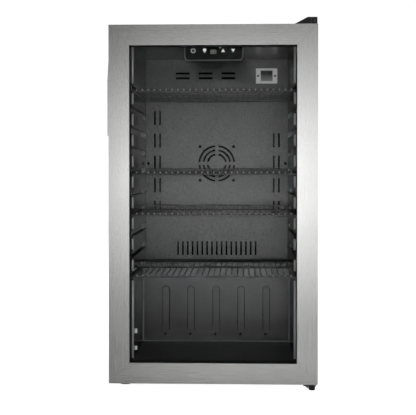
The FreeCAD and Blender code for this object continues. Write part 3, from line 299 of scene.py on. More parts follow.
# Near-black coat, partly painted shade: it keeps the view through the slots dark.
black_coat_slot_shade = stirred("black_coat_slot_shade", (0.008, 0.008, 0.009), (0.014, 0.014, 0.015), (0.7, 0.85),
                           0.002, 0.00003, gloss=0.15)
dress(black_coat_slot_shade, "evaporator", "fan_frame", "fan_motor", "fan_rotor", "temperature_sensor")
enamel = stirred("compressor_enamel", (0.008, 0.008, 0.008), (0.014, 0.014, 0.014), (0.12, 0.2), 0.004,
                 0.00003, coat=0.6)
dress(enamel, "compressor")
copper = stirred("drawn_copper", (0.45, 0.2, 0.11), (0.75, 0.4, 0.26), (0.2, 0.42), 0.003, 0.00002, metal=1.0)
dress(copper, "suction_pipe", "discharge_pipe", "filter_drier")

# %% [markdown]
# ## Foam, lamp and key panel plastics
# Foam is hidden but still gets its cells. The lamp case is light grey plastic around a clouded
# lens. Both carry a painted glow: the case a faint even one, and the lens one toward its lower edge,
# whose strength follows the height on the lens. The key panel is polished black acrylic.

# %% Foam, lamp and key panel
foam = stirred("rigid_foam", (0.62, 0.5, 0.26), (0.8, 0.68, 0.4), (0.8, 0.95), 0.0016, 0.0004)
dress(foam, "foam_insulation")
lamp_grey_painted_glow = stirred("lamp_grey_painted_glow", (0.52, 0.52, 0.52), (0.6, 0.6, 0.6), (0.4, 0.52), 0.0008, 0.00002)
# Painted glow: a faint emission on the grey lamp case, which is no lamp.
glow_or_painted_light(lamp_grey_painted_glow, 0.24)
dress(lamp_grey_painted_glow, "lamp_housing")
clouded = stirred("clouded_lens_painted_glow", (0.02, 0.02, 0.02), (0.05, 0.05, 0.05), (0.2, 0.32), 0.0025, 0.00004)
glow_or_painted_light(clouded, 0.0)
dress(clouded, "lamp_lens")
# Painted glow on the lens: emission 0.10 at its lower edge, fading to none toward its top.
lens_painted_glow_tree = clouded.node_tree
lens_painted_glow_where = lens_painted_glow_tree.nodes.new("ShaderNodeTexCoord")
lens_painted_glow_height = lens_painted_glow_tree.nodes.new("ShaderNodeSeparateXYZ")
lens_painted_glow_tree.links.new(lens_painted_glow_where.outputs["Generated"], lens_painted_glow_height.inputs["Vector"])
lens_painted_glow_tree.links.new(spread(lens_painted_glow_tree, lens_painted_glow_height.outputs["Z"], 0.10, 0.0, 0.05, 0.7),
                    lens_painted_glow_tree.nodes["Principled BSDF"].inputs["Emission Strength"])
board_green = stirred("board_green", (0.01, 0.09, 0.03), (0.02, 0.15, 0.05), (0.3, 0.5), 0.002, 0.00003)
dress(board_green, "lamp_board")
key_black = stirred("key_panel_black", (0.006, 0.006, 0.007), (0.009, 0.009, 0.010), (0.3, 0.4), 0.003,
                    0.000004, gloss=0.25)
dress(key_black, "control_housing", "control_fascia", "power_button", "lamp_button", "up_button",
      "down_button")
soften(0.0022, "lamp_housing", steps=3)

# %% [markdown]
# ## Door glass
# Two panes of clear glass with a faint grey tint and a coat against reflections, which works straight
# on and lets go at a slant. Real refraction in panes this thin hardly bends the view, and it stops
# lamps from lighting the inside directly. So the pane is a see-through shader with a mirror on top:
# Fresnel sets how much it mirrors, less the part that the coat takes away. A very slight waviness
# keeps it from looking like a hole.


# %% Glass
def door_pane(name, tint, shine, coat):
    finish = bpy.data.materials.new(name)
    finish.use_nodes = True
    tree = finish.node_tree
    tree.nodes.clear()
    out = tree.nodes.new("ShaderNodeOutputMaterial")
    mix = tree.nodes.new("ShaderNodeMixShader")
    clear = tree.nodes.new("ShaderNodeBsdfTransparent")
    mirror = tree.nodes.new("ShaderNodeBsdfGlossy")
    facing = tree.nodes.new("ShaderNodeFresnel")
    facing.inputs["IOR"].default_value = shine
    clear.inputs["Color"].default_value = (*tint, 1)
    mirror.inputs["Roughness"].default_value = 0.03
    wave = grain_noise(tree, 0.09, detail=1.0)
    bump = tree.nodes.new("ShaderNodeBump")
    bump.inputs["Distance"].default_value = 0.00004
    tree.links.new(wave, bump.inputs["Height"])
    tree.links.new(bump.outputs["Normal"], mirror.inputs["Normal"])
    left_over = tree.nodes.new("ShaderNodeMath")
    left_over.operation = "SUBTRACT"
    left_over.use_clamp = True
    left_over.inputs[1].default_value = coat
    tree.links.new(facing.outputs["Fac"], left_over.inputs[0])
    tree.links.new(left_over.outputs["Value"], mix.inputs["Fac"])
    tree.links.new(clear.outputs["BSDF"], mix.inputs[1])
    tree.links.new(mirror.outputs["BSDF"], mix.inputs[2])
    tree.links.new(mix.outputs["Shader"], out.inputs["Surface"])
    return finish


dress(door_pane("door_glass", (0.97, 0.972, 0.972), 1.45, 0.045), "outer_glass", "inner_glass")
dress(door_pane("display_glass", (0.6, 0.62, 0.6), 1.45, 0.0), "display_window")


# %% [markdown]
# ## Finishes that glow
# The signs are lit from behind through the black panel, and the display glows a dull grey green. A
# little emission over a pale colour does both.

# %% Sign finishes
ink = stirred("key_ink", (0.42, 0.43, 0.43), (0.55, 0.56, 0.56), (0.4, 0.5), 0.0008, 0.000004)
glow_or_painted_light(ink, 0.85, (0.75, 0.8, 0.8))
lit_green = stirred("display_green", (0.2, 0.24, 0.2), (0.26, 0.3, 0.26), (0.3, 0.4), 0.002, 0.000004)
glow_or_painted_light(lit_green, 0.3, (0.55, 0.66, 0.56))


# %% [markdown]
# ## Helpers for small solids
# Signs, marks and outlines are thin plates: an outline drawn in width and height, given a little
# thickness. bmesh builds them point by point, which keeps every edge where it was meant. Each new
# piece is linked, finished, and made to ride on the body that it is fixed to.

# %% Helpers that cut thin signs
def solid_from(name, build, finish, body):
    """A mesh piece made by build(mesh), finished and riding on a body."""
    mesh = bmesh.new()
    build(mesh)
    bmesh.ops.recalc_face_normals(mesh, faces=mesh.faces)
    data = bpy.data.meshes.new(name)
    mesh.to_mesh(data)
    mesh.free()
    piece = bpy.data.objects.new(name, data)
    bpy.context.scene.collection.objects.link(piece)
    data.materials.append(finish)
    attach(piece, body)
    print(name, "rides on", body, "with", len(data.polygons), "faces")
    return piece


def flat_shape(mesh, outline, y, thick):
    """A closed plate from an X, Z outline, facing -Y at y."""
    front = [mesh.verts.new((x, y, z)) for x, z in outline]
    back = [mesh.verts.new((x, y + thick, z)) for x, z in outline]
    mesh.faces.new(front)
    mesh.faces.new(list(reversed(back)))
    for i in range(len(front)):
        after = (i + 1) % len(front)
        mesh.faces.new((front[i], back[i], back[after], front[after]))


def bar(mesh, x_low, x_high, z_low, z_high, y, thick):
    """A thin upright rectangle."""
    flat_shape(mesh, [(x_low, z_low), (x_high, z_low), (x_high, z_high), (x_low, z_high)], y, thick)


def arc_band(mesh, centre, radius, width, start, end, y, thick, steps=28):
    """A curved stroke, for rings."""
    angles = [math.radians(start + (end - start) * i / steps) for i in range(steps + 1)]
    outer = [(centre[0] + radius * math.cos(a), centre[1] + radius * math.sin(a)) for a in angles]
    inner = [(centre[0] + (radius - width) * math.cos(a), centre[1] + (radius - width) * math.sin(a))
             for a in reversed(angles)]
    flat_shape(mesh, outer + inner, y, thick)


# %% [markdown]
# ## Display, cooling mark and panel edge
# The display shows two resting digits of short bars, and a small six-armed star beside it says that
# the compressor is running. The panel is a tray with a thin polished edge, seen as a light line that
# turns round its two lower corners. That light line is a painted highlight: a light metallic grey band.

# %% Display and cooling mark
SIGN = 0.00025
SIGN_PROUD = SIGN * 0.6
DIGIT_ASIDE = 0.0036
ROW_RISE = 0.0042
LEVEL_HALF, LEVEL_THIN = 0.0024, 0.0007
UPRIGHT_ASIDE, UPRIGHT_HALF, UPRIGHT_THIN = 0.0028, 0.004, 0.0005


def display_bars(mesh):
    """Two resting digits, each of three level bars between two uprights."""
    low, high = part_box("display_window")
    middle = (low.z + high.z) / 2
    y = low.y - SIGN
    for side in (-1, 1):
        x = (low.x + high.x) / 2 + side * DIGIT_ASIDE
        for row in (-1, 0, 1):
            z = middle + row * ROW_RISE
            bar(mesh, x - LEVEL_HALF, x + LEVEL_HALF, z - LEVEL_THIN, z + LEVEL_THIN, y, SIGN)
        for edge in (-1, 1):
            at = x + edge * UPRIGHT_ASIDE
            bar(mesh, at - UPRIGHT_THIN, at + UPRIGHT_THIN, middle - UPRIGHT_HALF,
                middle + UPRIGHT_HALF, y, SIGN)


STAR_TIP, STAR_VALLEY = 0.0019, 0.0007
STAR_ASIDE, STAR_UP = 0.0076, 0.0028


def snow_mark(mesh):
    """A small six-armed star beside the display, for cooling."""
    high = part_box("display_window")[1]
    x, z = high.x + STAR_ASIDE, high.z + STAR_UP
    star = []
    for i in range(12):
        reach = STAR_TIP if i % 2 == 0 else STAR_VALLEY
        star.append((x + reach * math.cos(math.radians(30 * i)), z + reach * math.sin(math.radians(30 * i))))
    flat_shape(mesh, star, fascia_front - SIGN_PROUD, SIGN)


solid_from("display_bars", display_bars, lit_green, "cabinet")
solid_from("cooling_sign", snow_mark, ink, "cabinet")

# %% Panel edge
EDGE_BEND = 0.009
EDGE_WIDTH = 0.0009
EDGE_PROUD = 0.0002
EDGE_THICK = 0.0008
CORNER_STEPS = 8
EDGE_FADE = 0.06


def panel_outline(mesh):
    """A thin raised edge down both sides and along the bottom of the key panel."""
    low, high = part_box("control_housing")
    bend_top = low.z + EDGE_BEND
    path = [(low.x, high.z), (low.x, bend_top)]
    for side, start in ((low.x + EDGE_BEND, 180), (high.x - EDGE_BEND, 270)):
        for i in range(CORNER_STEPS + 1):
            a = math.radians(start + 90 * i / CORNER_STEPS)
            path.append((side + EDGE_BEND * math.cos(a), bend_top + EDGE_BEND * math.sin(a)))
    path.append((high.x, high.z))
    middle = (low.x + high.x) / 2
    inner = []
    for x, z in path:
        inward = (1 if x < middle else -1) * min(1, abs(x - middle) / EDGE_FADE)
        inner.append((x + EDGE_WIDTH * inward, z + (EDGE_WIDTH if z < bend_top else 0)))
    for i in range(len(path) - 1):
        flat_shape(mesh, [path[i], path[i + 1], inner[i + 1], inner[i]], low.y - EDGE_PROUD, EDGE_THICK)


# Painted highlight: the edge's light line is a light metallic grey band on the black panel.
edge_painted_highlight = stirred("panel_edge_grey", (0.4, 0.4, 0.4), (0.5, 0.5, 0.5), (0.25, 0.35), 0.001, 0.00001,
                    metal=0.6)
solid_from("panel_outline", panel_outline, edge_painted_highlight, "cabinet")

# %% [markdown]
# ## Signs on the keys
# The keys carry a power ring, a bulb, and up and down triangles. Each sign is cut as a thin solid so
# that it keeps a crisp edge at any distance, and it moves with its key.

# %% Key signs
STROKE = 0.0012


def key_centre(key):
    low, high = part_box(key)
    return ((low.x + high.x) / 2, (low.z + high.z) / 2), low.y - SIGN_PROUD


def power_sign(mesh):
    (x, z), y = key_centre("power_button")
    arc_band(mesh, (x, z), 0.0054, STROKE, 122, 418, y, SIGN)
    bar(mesh, x - STROKE / 2, x + STROKE / 2, z + 0.001, z + 0.0056, y, SIGN)


def bulb_sign(mesh):
    (x, z), y = key_centre("lamp_button")
    bulb = [(x + 0.004 * math.cos(math.radians(a)), z + 0.0014 + 0.004 * math.sin(math.radians(a)))
            for a in range(-50, 231, 14)]
    flat_shape(mesh, bulb + [(x - 0.0018, z - 0.0028), (x + 0.0018, z - 0.0028)], y, SIGN)
    bar(mesh, x - 0.0016, x + 0.0016, z - 0.0048, z - 0.0034, y, SIGN)


def arrow_sign(key, turn):
    def build(mesh):
        (x, z), y = key_centre(key)
        flat_shape(mesh, [(x - 0.0046, z - turn * 0.0036), (x + 0.0046, z - turn * 0.0036),
                          (x, z + turn * 0.0045)], y, SIGN)
    return build


KEY_SIGNS = (("power_sign", power_sign, "power_button"), ("bulb_sign", bulb_sign, "lamp_button"),
             ("up_sign", arrow_sign("up_button", 1), "up_button"),
             ("down_sign", arrow_sign("down_button", -1), "down_button"))
for name, build, body in KEY_SIGNS:
    solid_from(name, build, ink, body)

# %% [markdown]
# ## A helper for rounded bars
# Beads, fillets, clips and flutes are all straight bars with rounded ends. One helper stacks rings of
# points up the bar and draws them in at both ends, and another gives a piece smooth shading.

# %% Rounded bar
def capsule(mesh, x, y, z_low, z_high, radius, sides=14):
    """An upright bar with rounded ends."""
    stations = [(z_low, 0.0), (z_low + radius * 0.3, 0.7), (z_low + radius, 1.0),
                (z_high - radius, 1.0), (z_high - radius * 0.3, 0.7), (z_high, 0.0)]
    rings = []
    for z, share in stations:
        if share == 0:
            rings.append([mesh.verts.new((x, y, z))])
            continue
        rings.append([mesh.verts.new((x + radius * share * math.cos(2 * math.pi * k / sides),
                                      y + radius * share * math.sin(2 * math.pi * k / sides), z))
                      for k in range(sides)])
    for low, high in zip(rings, rings[1:]):
        for k in range(sides):
            after = (k + 1) % sides
            if len(low) == 1:
                mesh.faces.new((low[0], high[after], high[k]))
            elif len(high) == 1:
                mesh.faces.new((low[k], low[after], high[0]))
            else:
                mesh.faces.new((low[k], low[after], high[after], high[k]))


def smooth(piece):
    for face in piece.data.polygons:
        face.use_smooth = True
    return piece


# %% [markdown]
# ## The liner's rolled edge
# Where the moulded liner turns out to its front flange the plastic rolls over a small radius. The
# roll is broken wherever a shelf groove opens. The roll shows as a row of bright dashes down each
# side, so it is built as short rounded beads between the grooves, with a painted highlight: a light
# metallic grey and a faint glow on what is black plastic.

# %% Rolled edge beads
FIRST_GROOVE = 0.694
GROOVE_STEP = 0.0489
GROOVE_COUNT = 10
GROOVE_OPEN = (-0.0028, 0.0142)
GROOVE_MARGIN = 0.002
BEAD_TOP, BEAD_FOOT = 0.800, 0.064
BEAD_RADIUS = 0.0026
BEAD_INSET = 0.0018
BEAD_BACK = 0.0002


def edge_beads(mesh):
    grooves = [FIRST_GROOVE - i * GROOVE_STEP for i in range(GROOVE_COUNT)]
    tops = [BEAD_TOP] + [groove + GROOVE_OPEN[0] - GROOVE_MARGIN for groove in grooves]
    lows = [groove + GROOVE_OPEN[1] + GROOVE_MARGIN for groove in grooves] + [BEAD_FOOT]
    for side in (-1, 1):
        for low, top in zip(lows, tops):
            capsule(mesh, side * (inside - BEAD_INSET), cabinet_front + BEAD_BACK, low, top, BEAD_RADIUS)


# Painted highlight: light metallic grey and a faint glow stand in for the light the rolled edge catches.
bead_painted_highlight = stirred("rolled_edge", (0.62, 0.62, 0.62), (0.72, 0.72, 0.72), (0.3, 0.4), 0.002, 0.00001,
                      metal=0.85)
glow_or_painted_light(bead_painted_highlight, 0.07)
smooth(solid_from("liner_rolled_edge", edge_beads, bead_painted_highlight, "cabinet"))

# %% [markdown]
# ## Wire tips on the shelves
# Each cross wire is cut off over the front rod and ends in a rounded tip, which shows as a bright dot.
# The tips are small domes on the ends of the wires, and they slide with their shelf. Their light grey
# colour and faint glow are a painted glint.

# %% Wire tips
WIRE_COUNT = 27
WIRE_MARGIN = 0.009
TIP_RADIUS = 0.0021
TIP_FLATTEN = 0.6
TIP_BACK, TIP_UP = 0.0005, 0.006


def wire_tips(shelf):
    def build(mesh):
        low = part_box(shelf)[0]
        pitch = (2 * inside - 2 * WIRE_MARGIN) / (WIRE_COUNT - 1)
        for i in range(WIRE_COUNT):
            x = -inside + WIRE_MARGIN + i * pitch
            dome = bmesh.ops.create_uvsphere(mesh, u_segments=10, v_segments=8, radius=TIP_RADIUS)
            for vert in dome["verts"]:
                vert.co.y *= TIP_FLATTEN
                vert.co += Vector((x, low.y + TIP_BACK, low.z + TIP_UP))
    return build


# Painted glint: the tips get a light grey colour and a faint glow where the cut ends catch the light.
tip_painted_glint = stirred("wire_tip", (0.66, 0.66, 0.66), (0.78, 0.78, 0.78), (0.25, 0.35), 0.001, 0.00001,
                     metal=0.5)
glow_or_painted_light(tip_painted_glint, 0.06)
for number in range(1, 5):
    smooth(solid_from("shelf_%d_tips" % number, wire_tips("shelf_%d" % number), tip_painted_glint,
                      "shelf_%d" % number))

# %% [markdown]
# ## Rib outlines on the step
# The five upright ribs on the step's front are raised by the mould, with a shallow crease around
# each. The shade in each crease is painted: a narrow near-black dull band laid just proud of the face.
# A small round mark under each rib is where a pin pushed the liner off its mould; it takes the same
# near-black finish.

# %% Rib creases
RIB_COUNT = 5
RIB_STEP = 0.0657
RIB_HALF = 0.00825
RIB_LOW, RIB_TOP = 0.087, 0.203
CREASE = 0.0011
CREASE_PROUD = 0.0004
STEP_FACE = 0.083
RIB_FACE = 0.080
MARK_RADIUS = 0.0032
MARK_FLATTEN = 0.5
MARK_ASIDE, MARK_UP = 0.002, 0.0775
# Painted shade: near-black dull bands stand in for the shade in the creases.
painted_shade_dull = stirred("painted_shade_dull", (0.004, 0.004, 0.004), (0.007, 0.007, 0.007), (0.75, 0.9), 0.001,
                      0.00001, gloss=0.05)


def rib_creases(mesh):
    for i in range(RIB_COUNT):
        x = (i - (RIB_COUNT - 1) / 2) * RIB_STEP
        for side in (-1, 1):
            edges = sorted((x + side * RIB_HALF, x + side * (RIB_HALF + CREASE)))
            bar(mesh, *edges, RIB_LOW, RIB_TOP - RIB_HALF, RIB_FACE - CREASE_PROUD, STEP_FACE - RIB_FACE)
        arc_band(mesh, (x, RIB_TOP - RIB_HALF), RIB_HALF + CREASE, CREASE, 0, 180,
                 RIB_FACE - CREASE_PROUD, STEP_FACE - RIB_FACE)


def rib_buttons(mesh):
    """A small round mould mark under each rib."""
    for i in range(RIB_COUNT):
        x = (i - (RIB_COUNT - 1) / 2) * RIB_STEP
        mark = bmesh.ops.create_uvsphere(mesh, u_segments=16, v_segments=10, radius=MARK_RADIUS)
        for vert in mark["verts"]:
            vert.co.y *= MARK_FLATTEN
            vert.co += Vector((x - MARK_ASIDE, STEP_FACE, MARK_UP))


solid_from("rib_creases", rib_creases, painted_shade_dull, "cabinet")
smooth(solid_from("rib_mould_marks", rib_buttons, painted_shade_dull, "cabinet"))

# %% [markdown]
# ## Fillets round the step and two clips
# A drawn liner has a fillet in every inside corner. The ones down both sides of the step's face and
# along its foot show as thin light lines, a painted highlight of grey bars with a faint glow. Two
# small clips sit low on the left wall, near white and glowing as a painted glint.

# %% Step fillets and wall clips
FILLET = 0.0011
FILLET_OFF = 0.001
FILLET_SIDES = 10
FLOOR_INSIDE = 0.058
STEP_HIGH = 0.267


def step_fillets(mesh):
    """Two upright bars, and a third that is built upright and then laid along the step's foot."""
    y = STEP_FACE - FILLET_OFF
    for side in (-1, 1):
        capsule(mesh, side * (inside - FILLET_OFF), y, FLOOR_INSIDE, STEP_HIGH, FILLET, FILLET_SIDES)
    first = len(mesh.verts)
    capsule(mesh, 0, 0, -inside + FILLET_OFF, inside - FILLET_OFF, FILLET, FILLET_SIDES)
    mesh.verts.ensure_lookup_table()
    for vert in list(mesh.verts)[first:]:
        up, across, along = vert.co
        vert.co = Vector((along, y + across, FLOOR_INSIDE + FILLET_OFF + up))


CLIP_RADIUS = 0.0026
CLIP_OFF_WALL = 0.0015
CLIP_PLACE = -0.098
CLIP_HEIGHTS = ((0.110, 0.122), (0.069, 0.080))


def wall_clips(mesh):
    for low, high in CLIP_HEIGHTS:
        capsule(mesh, -inside + CLIP_OFF_WALL, CLIP_PLACE, low, high, CLIP_RADIUS)


# Painted highlight: the fillets' grey colour and faint glow stand in for the light their curves catch.
fillet_painted_highlight = stirred("fillet_painted_highlight", (0.11, 0.11, 0.11), (0.15, 0.15, 0.15), (0.3, 0.4), 0.002, 0.00001)
# Painted glint: the clips are near white with a glow, standing in for the glints they show.
clip_painted_glint = stirred("clip_painted_glint", (0.8, 0.8, 0.8), (0.88, 0.88, 0.88), (0.2, 0.3), 0.002, 0.00001, gloss=1)
glow_or_painted_light(fillet_painted_highlight, 0.055)
glow_or_painted_light(clip_painted_glint, 0.3)
smooth(solid_from("step_fillets", step_fillets, fillet_painted_highlight, "cabinet"))
smooth(solid_from("wall_clips", wall_clips, clip_painted_glint, "cabinet"))

# %% [markdown]
# ## Foam behind the slotted panel
# The duct behind the slotted panel is lined with a thin dull black foam sheet, whose near-black colour
# is painted shade, so that nothing bright shows through the slots. It is laid in shallow waves, as cut
# foam is.

# %% Duct foam
DUCT_BACK = 0.1842
DUCT_LOW, DUCT_HIGH = 0.269, 0.8045
DUCT_MARGIN = 0.001
FOAM_THICK = 0.0009
WAVE = 0.00025
WAVE_TURN = 0.9
COLUMNS, ROWS = 60, 80


def foam_sheet(mesh, thick, wave):
    """One face of the foam, as a grid of points in front of the duct's back."""
    half = inside - DUCT_MARGIN
    grid = []
    for r in range(ROWS + 1):
        z = DUCT_LOW + (DUCT_HIGH - DUCT_LOW) * r / ROWS
        line = []
        for c in range(COLUMNS + 1):
            y = DUCT_BACK - thick - wave * math.sin(c * WAVE_TURN) * math.sin(r * WAVE_TURN)
            line.append(mesh.verts.new((-half + 2 * half * c / COLUMNS, y, z)))
        grid.append(line)
    for r in range(ROWS):
        for c in range(COLUMNS):
            mesh.faces.new((grid[r][c], grid[r][c + 1], grid[r + 1][c + 1], grid[r + 1][c]))
    return grid


def duct_foam(mesh):
    """A waved front and a flat back, closed by a strip round their rim."""
    front = foam_sheet(mesh, FOAM_THICK, WAVE)
    back = foam_sheet(mesh, 0, 0)
    rim = [(r, 0) for r in range(ROWS + 1)] + [(ROWS, c) for c in range(1, COLUMNS + 1)]
    rim += [(r, COLUMNS) for r in range(ROWS - 1, -1, -1)] + [(0, c) for c in range(COLUMNS - 1, 0, -1)]
    for (r, c), (r2, c2) in zip(rim, rim[1:] + rim[:1]):
        mesh.faces.new((front[r][c], front[r2][c2], back[r2][c2], back[r][c]))


# Painted shade: a near-black sheet keeps the view through the slots dark.
duct_painted_shade = stirred("duct_foam_painted_shade", (0.003, 0.003, 0.003), (0.006, 0.006, 0.006), (0.9, 1.0), 0.002,
                     0.0001, gloss=0.0)
solid_from("duct_foam", duct_foam, duct_painted_shade, "cabinet")

# %% [markdown]
# ## Door seal bellows
# A magnetic seal is a soft extrusion: a fat hollow edge that holds the magnet and a thin pleat that
# lets it stretch. Two rounded rolls run round the seal's outside and two inside, mitred at the
# corners.

# %% Seal bellows
gasket_low, gasket_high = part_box("gasket")
GASKET_WIDTH = 0.020
ROLL_RADIUS = 0.0015
ROLL_INSET = 0.0002
ROLL_DEPTHS = (0.24, 0.62)


def rolled_ring(mesh, inset, y, radius, sides=10):
    """A round cord that runs once round the seal, inset from its outer edge."""
    corners = [(gasket_low.x + inset, gasket_low.z + inset), (gasket_high.x - inset, gasket_low.z + inset),
               (gasket_high.x - inset, gasket_high.z - inset), (gasket_low.x + inset, gasket_high.z - inset)]
    outward = [(-1, -1), (1, -1), (1, 1), (-1, 1)]
    rings = []
    for (x, z), (dx, dz) in zip(corners, outward):
        ring = []
        for k in range(sides):
            a = 2 * math.pi * k / sides
            out = radius * math.cos(a)
            ring.append(mesh.verts.new((x + dx * out, y + radius * math.sin(a), z + dz * out)))
        rings.append(ring)
    for i in range(4):
        near, far = rings[i], rings[(i + 1) % 4]
        for k in range(sides):
            after = (k + 1) % sides
            mesh.faces.new((near[k], near[after], far[after], far[k]))


def seal_rolls(mesh):
    """Two rolls outside and two inside, each at its share of the seal's depth."""
    depth = gasket_high.y - gasket_low.y
    for inset in (ROLL_INSET, GASKET_WIDTH - ROLL_INSET):
        for share in ROLL_DEPTHS:
            rolled_ring(mesh, inset, gasket_low.y + depth * share, ROLL_RADIUS)


smooth(solid_from("seal_rolls", seal_rolls, seal_rubber, "door"))

# %% [markdown]
# ## Louvre hoods on the compressor cover
# Each slot in the compressor cover is lanced out of the sheet, which leaves a curved hood over it
# that keeps dust and fingers out. A hood is a quarter round swept along the slot, a little narrower
# at its lip, with the thickness of the sheet.

# %% Louvre hoods
cover_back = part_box("compressor_cover")[1].y
HOOD_OUT = 0.0032
HOOD_SHEET = 0.0006
HOOD_TOP = 0.0085
HOOD_HALF = 0.071
HOOD_TAPER = 0.004
HOOD_STEPS = 6
HOOD_SUNK = 0.0002
LOUVRE_X, LOUVRE_LOW, LOUVRE_PITCH, LOUVRE_ROWS = 0.110, 0.056, 0.016, 9


def hood_skin(mesh, x, profile, sheet):
    """Pairs of points down one side of the hood's sheet."""
    skin = []
    for i, (out, z) in enumerate(profile):
        half = HOOD_HALF - HOOD_TAPER * i / HOOD_STEPS
        y = cover_back + max(out - sheet, -HOOD_SUNK) - (0 if sheet else HOOD_SUNK)
        skin.append([mesh.verts.new((x + end * half, y, z - sheet)) for end in (-1, 1)])
    return skin


def hood(mesh, x, z):
    profile = []
    for i in range(HOOD_STEPS + 1):
        a = math.radians(90 * i / HOOD_STEPS)
        profile.append((HOOD_OUT * math.sin(a), z + HOOD_TOP * math.cos(a)))
    outer = hood_skin(mesh, x, profile, 0)
    inner = hood_skin(mesh, x, profile, HOOD_SHEET)
    for skin in (outer, inner):
        for a, b in zip(skin, skin[1:]):
            mesh.faces.new((a[0], a[1], b[1], b[0]))
    for a, b in ((outer[0], inner[0]), (outer[-1], inner[-1])):
        mesh.faces.new((a[0], a[1], b[1], b[0]))
    for end in (0, 1):
        for i in range(HOOD_STEPS):
            mesh.faces.new((outer[i][end], outer[i + 1][end], inner[i + 1][end], inner[i][end]))


def louvre_hoods(mesh):
    for side in (-1, 1):
        for row in range(LOUVRE_ROWS):
            hood(mesh, side * LOUVRE_X, LOUVRE_LOW + row * LOUVRE_PITCH)


smooth(solid_from("louvre_hoods", louvre_hoods, cabinet_paint, "cabinet"))

# %% [markdown]
# ## Creases in the back panel
# A flat sheet of this size would drum, so two rectangular creases are pressed into it. Each is a low
# flat-topped ridge that runs round inside the panel's edges.

# %% Pressed creases
back_low, back_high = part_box("back_panel")
RIDGE_OUT = 0.0011
RIDGE_SUNK = 0.0001
RIDGE_ROOT = 0.0006
RIDGES = ((0.045, 0.006), (0.085, 0.004))


def back_creases(mesh):
    """Flattened ridges, each set in from the panel's edges by the first number and as wide as the second."""
    for inset, ridge in RIDGES:
        loops = []
        for share, out in ((0, 0), (0.3, RIDGE_OUT), (0.7, RIDGE_OUT), (1, 0)):
            d = inset + ridge * share
            corners = ((back_low.x + d, back_low.z + d), (back_high.x - d, back_low.z + d),
                       (back_high.x - d, back_high.z - d), (back_low.x + d, back_high.z - d))
            loops.append([mesh.verts.new((x, back_high.y + out - RIDGE_SUNK, z)) for x, z in corners])
        for loop in (loops[3], loops[0]):
            loops.append([mesh.verts.new((v.co.x, back_high.y - RIDGE_ROOT, v.co.z)) for v in loop])
        for a, b in zip(loops, loops[1:] + loops[:1]):
            for k in range(4):
                mesh.faces.new((a[k], a[(k + 1) % 4], b[(k + 1) % 4], b[k]))


solid_from("back_creases", back_creases, raw_back, "cabinet")

# %% [markdown]
# ## Flutes on the levelling feet
# The levelling feet are moulded with grip flutes so that fingers can turn them. The flutes are thin
# rounded bars set round each foot's rim, more of them on the larger foot.

# %% Foot flutes
FLUTE_RADIUS = 0.0009
FLUTE_SUNK = 0.0004
FLUTE_SIDES = 8
FLUTE_LOW, FLUTE_HIGH = 0.0006, 0.0084


def flutes(foot, radius, count):
    def build(mesh):
        low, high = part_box(foot)
        x, y = (low.x + high.x) / 2, (low.y + high.y) / 2
        reach = radius - FLUTE_SUNK
        for k in range(count):
            a = 2 * math.pi * k / count
            capsule(mesh, x + reach * math.cos(a), y + reach * math.sin(a), FLUTE_LOW, FLUTE_HIGH,
                    FLUTE_RADIUS, FLUTE_SIDES)
    return build


for foot, radius, count in (("left_foot", 0.014, 30), ("right_foot", 0.007, 16)):
    smooth(solid_from(foot + "_flutes", flutes(foot, radius, count), moulding, foot))

# %% [markdown]
# ## Plug and seam on the hinge cap
# The cap over the top hinge has a round plug over its fixing and a moulded seam near its right end.
# Both are thin plates a little lighter than the cap; that lighter grey is a painted highlight.

# %% Hinge cap plug
cap_low, cap_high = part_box("top_hinge_cover")
PLUG_SIDES = 28
PLUG_RADIUS = 0.0026
CAP_DETAIL_THICK = 0.0008


def cap_details(mesh):
    turns = [2 * math.pi * k / PLUG_SIDES for k in range(PLUG_SIDES)]
    x, z = cap_high.x - 0.0055, cap_high.z - 0.0085
    flat_shape(mesh, [(x + PLUG_RADIUS * math.cos(a), z + PLUG_RADIUS * math.sin(a)) for a in turns],
               cap_low.y - 0.0005, CAP_DETAIL_THICK)
    bar(mesh, cap_high.x - 0.0145, cap_high.x - 0.0125, cap_low.z + 0.004, cap_high.z - 0.0015,
        cap_low.y - 0.0004, CAP_DETAIL_THICK)


# Painted highlight: the plug and seam are a lighter grey than the cap where their edges catch light.
seam_painted_highlight = stirred("cap_seam_grey", (0.07, 0.07, 0.07), (0.1, 0.1, 0.1), (0.3, 0.4), 0.001, 0.00001)
solid_from("hinge_cap_details", cap_details, seam_painted_highlight, "cabinet")

# %% [markdown]
# ## Floor
# A plain pale floor, as in a product studio. It is white to look at but gives little light, so that
# the glass stays clear and the inside dark: its glow asks whether it is seen straight from the camera.

# %% Floor
FLOOR_SIDE = 7.0
FLOOR_NEAR = -1.5
floor_mesh = bpy.data.meshes.new("floor")
floor_mesh.from_pydata([(-FLOOR_SIDE, FLOOR_NEAR, 0), (FLOOR_SIDE, FLOOR_NEAR, 0),
                        (FLOOR_SIDE, FLOOR_SIDE, 0), (-FLOOR_SIDE, FLOOR_SIDE, 0)], [], [(0, 1, 2, 3)])
floor = bpy.data.objects.new("floor", floor_mesh)
bpy.context.scene.collection.objects.link(floor)


def white_to_the_eye(tree, socket, as_light, as_seen):
    """Strength that is as_seen for what is looked at, and as_light for the light it gives."""
    seen = tree.nodes.new("ShaderNodeLightPath")
    level = tree.nodes.new("ShaderNodeMapRange")
    level.inputs["To Min"].default_value = as_light
    level.inputs["To Max"].default_value = as_seen
    tree.links.new(seen.outputs["Is Camera Ray"], level.inputs["Value"])
    tree.links.new(level.outputs["Result"], socket)


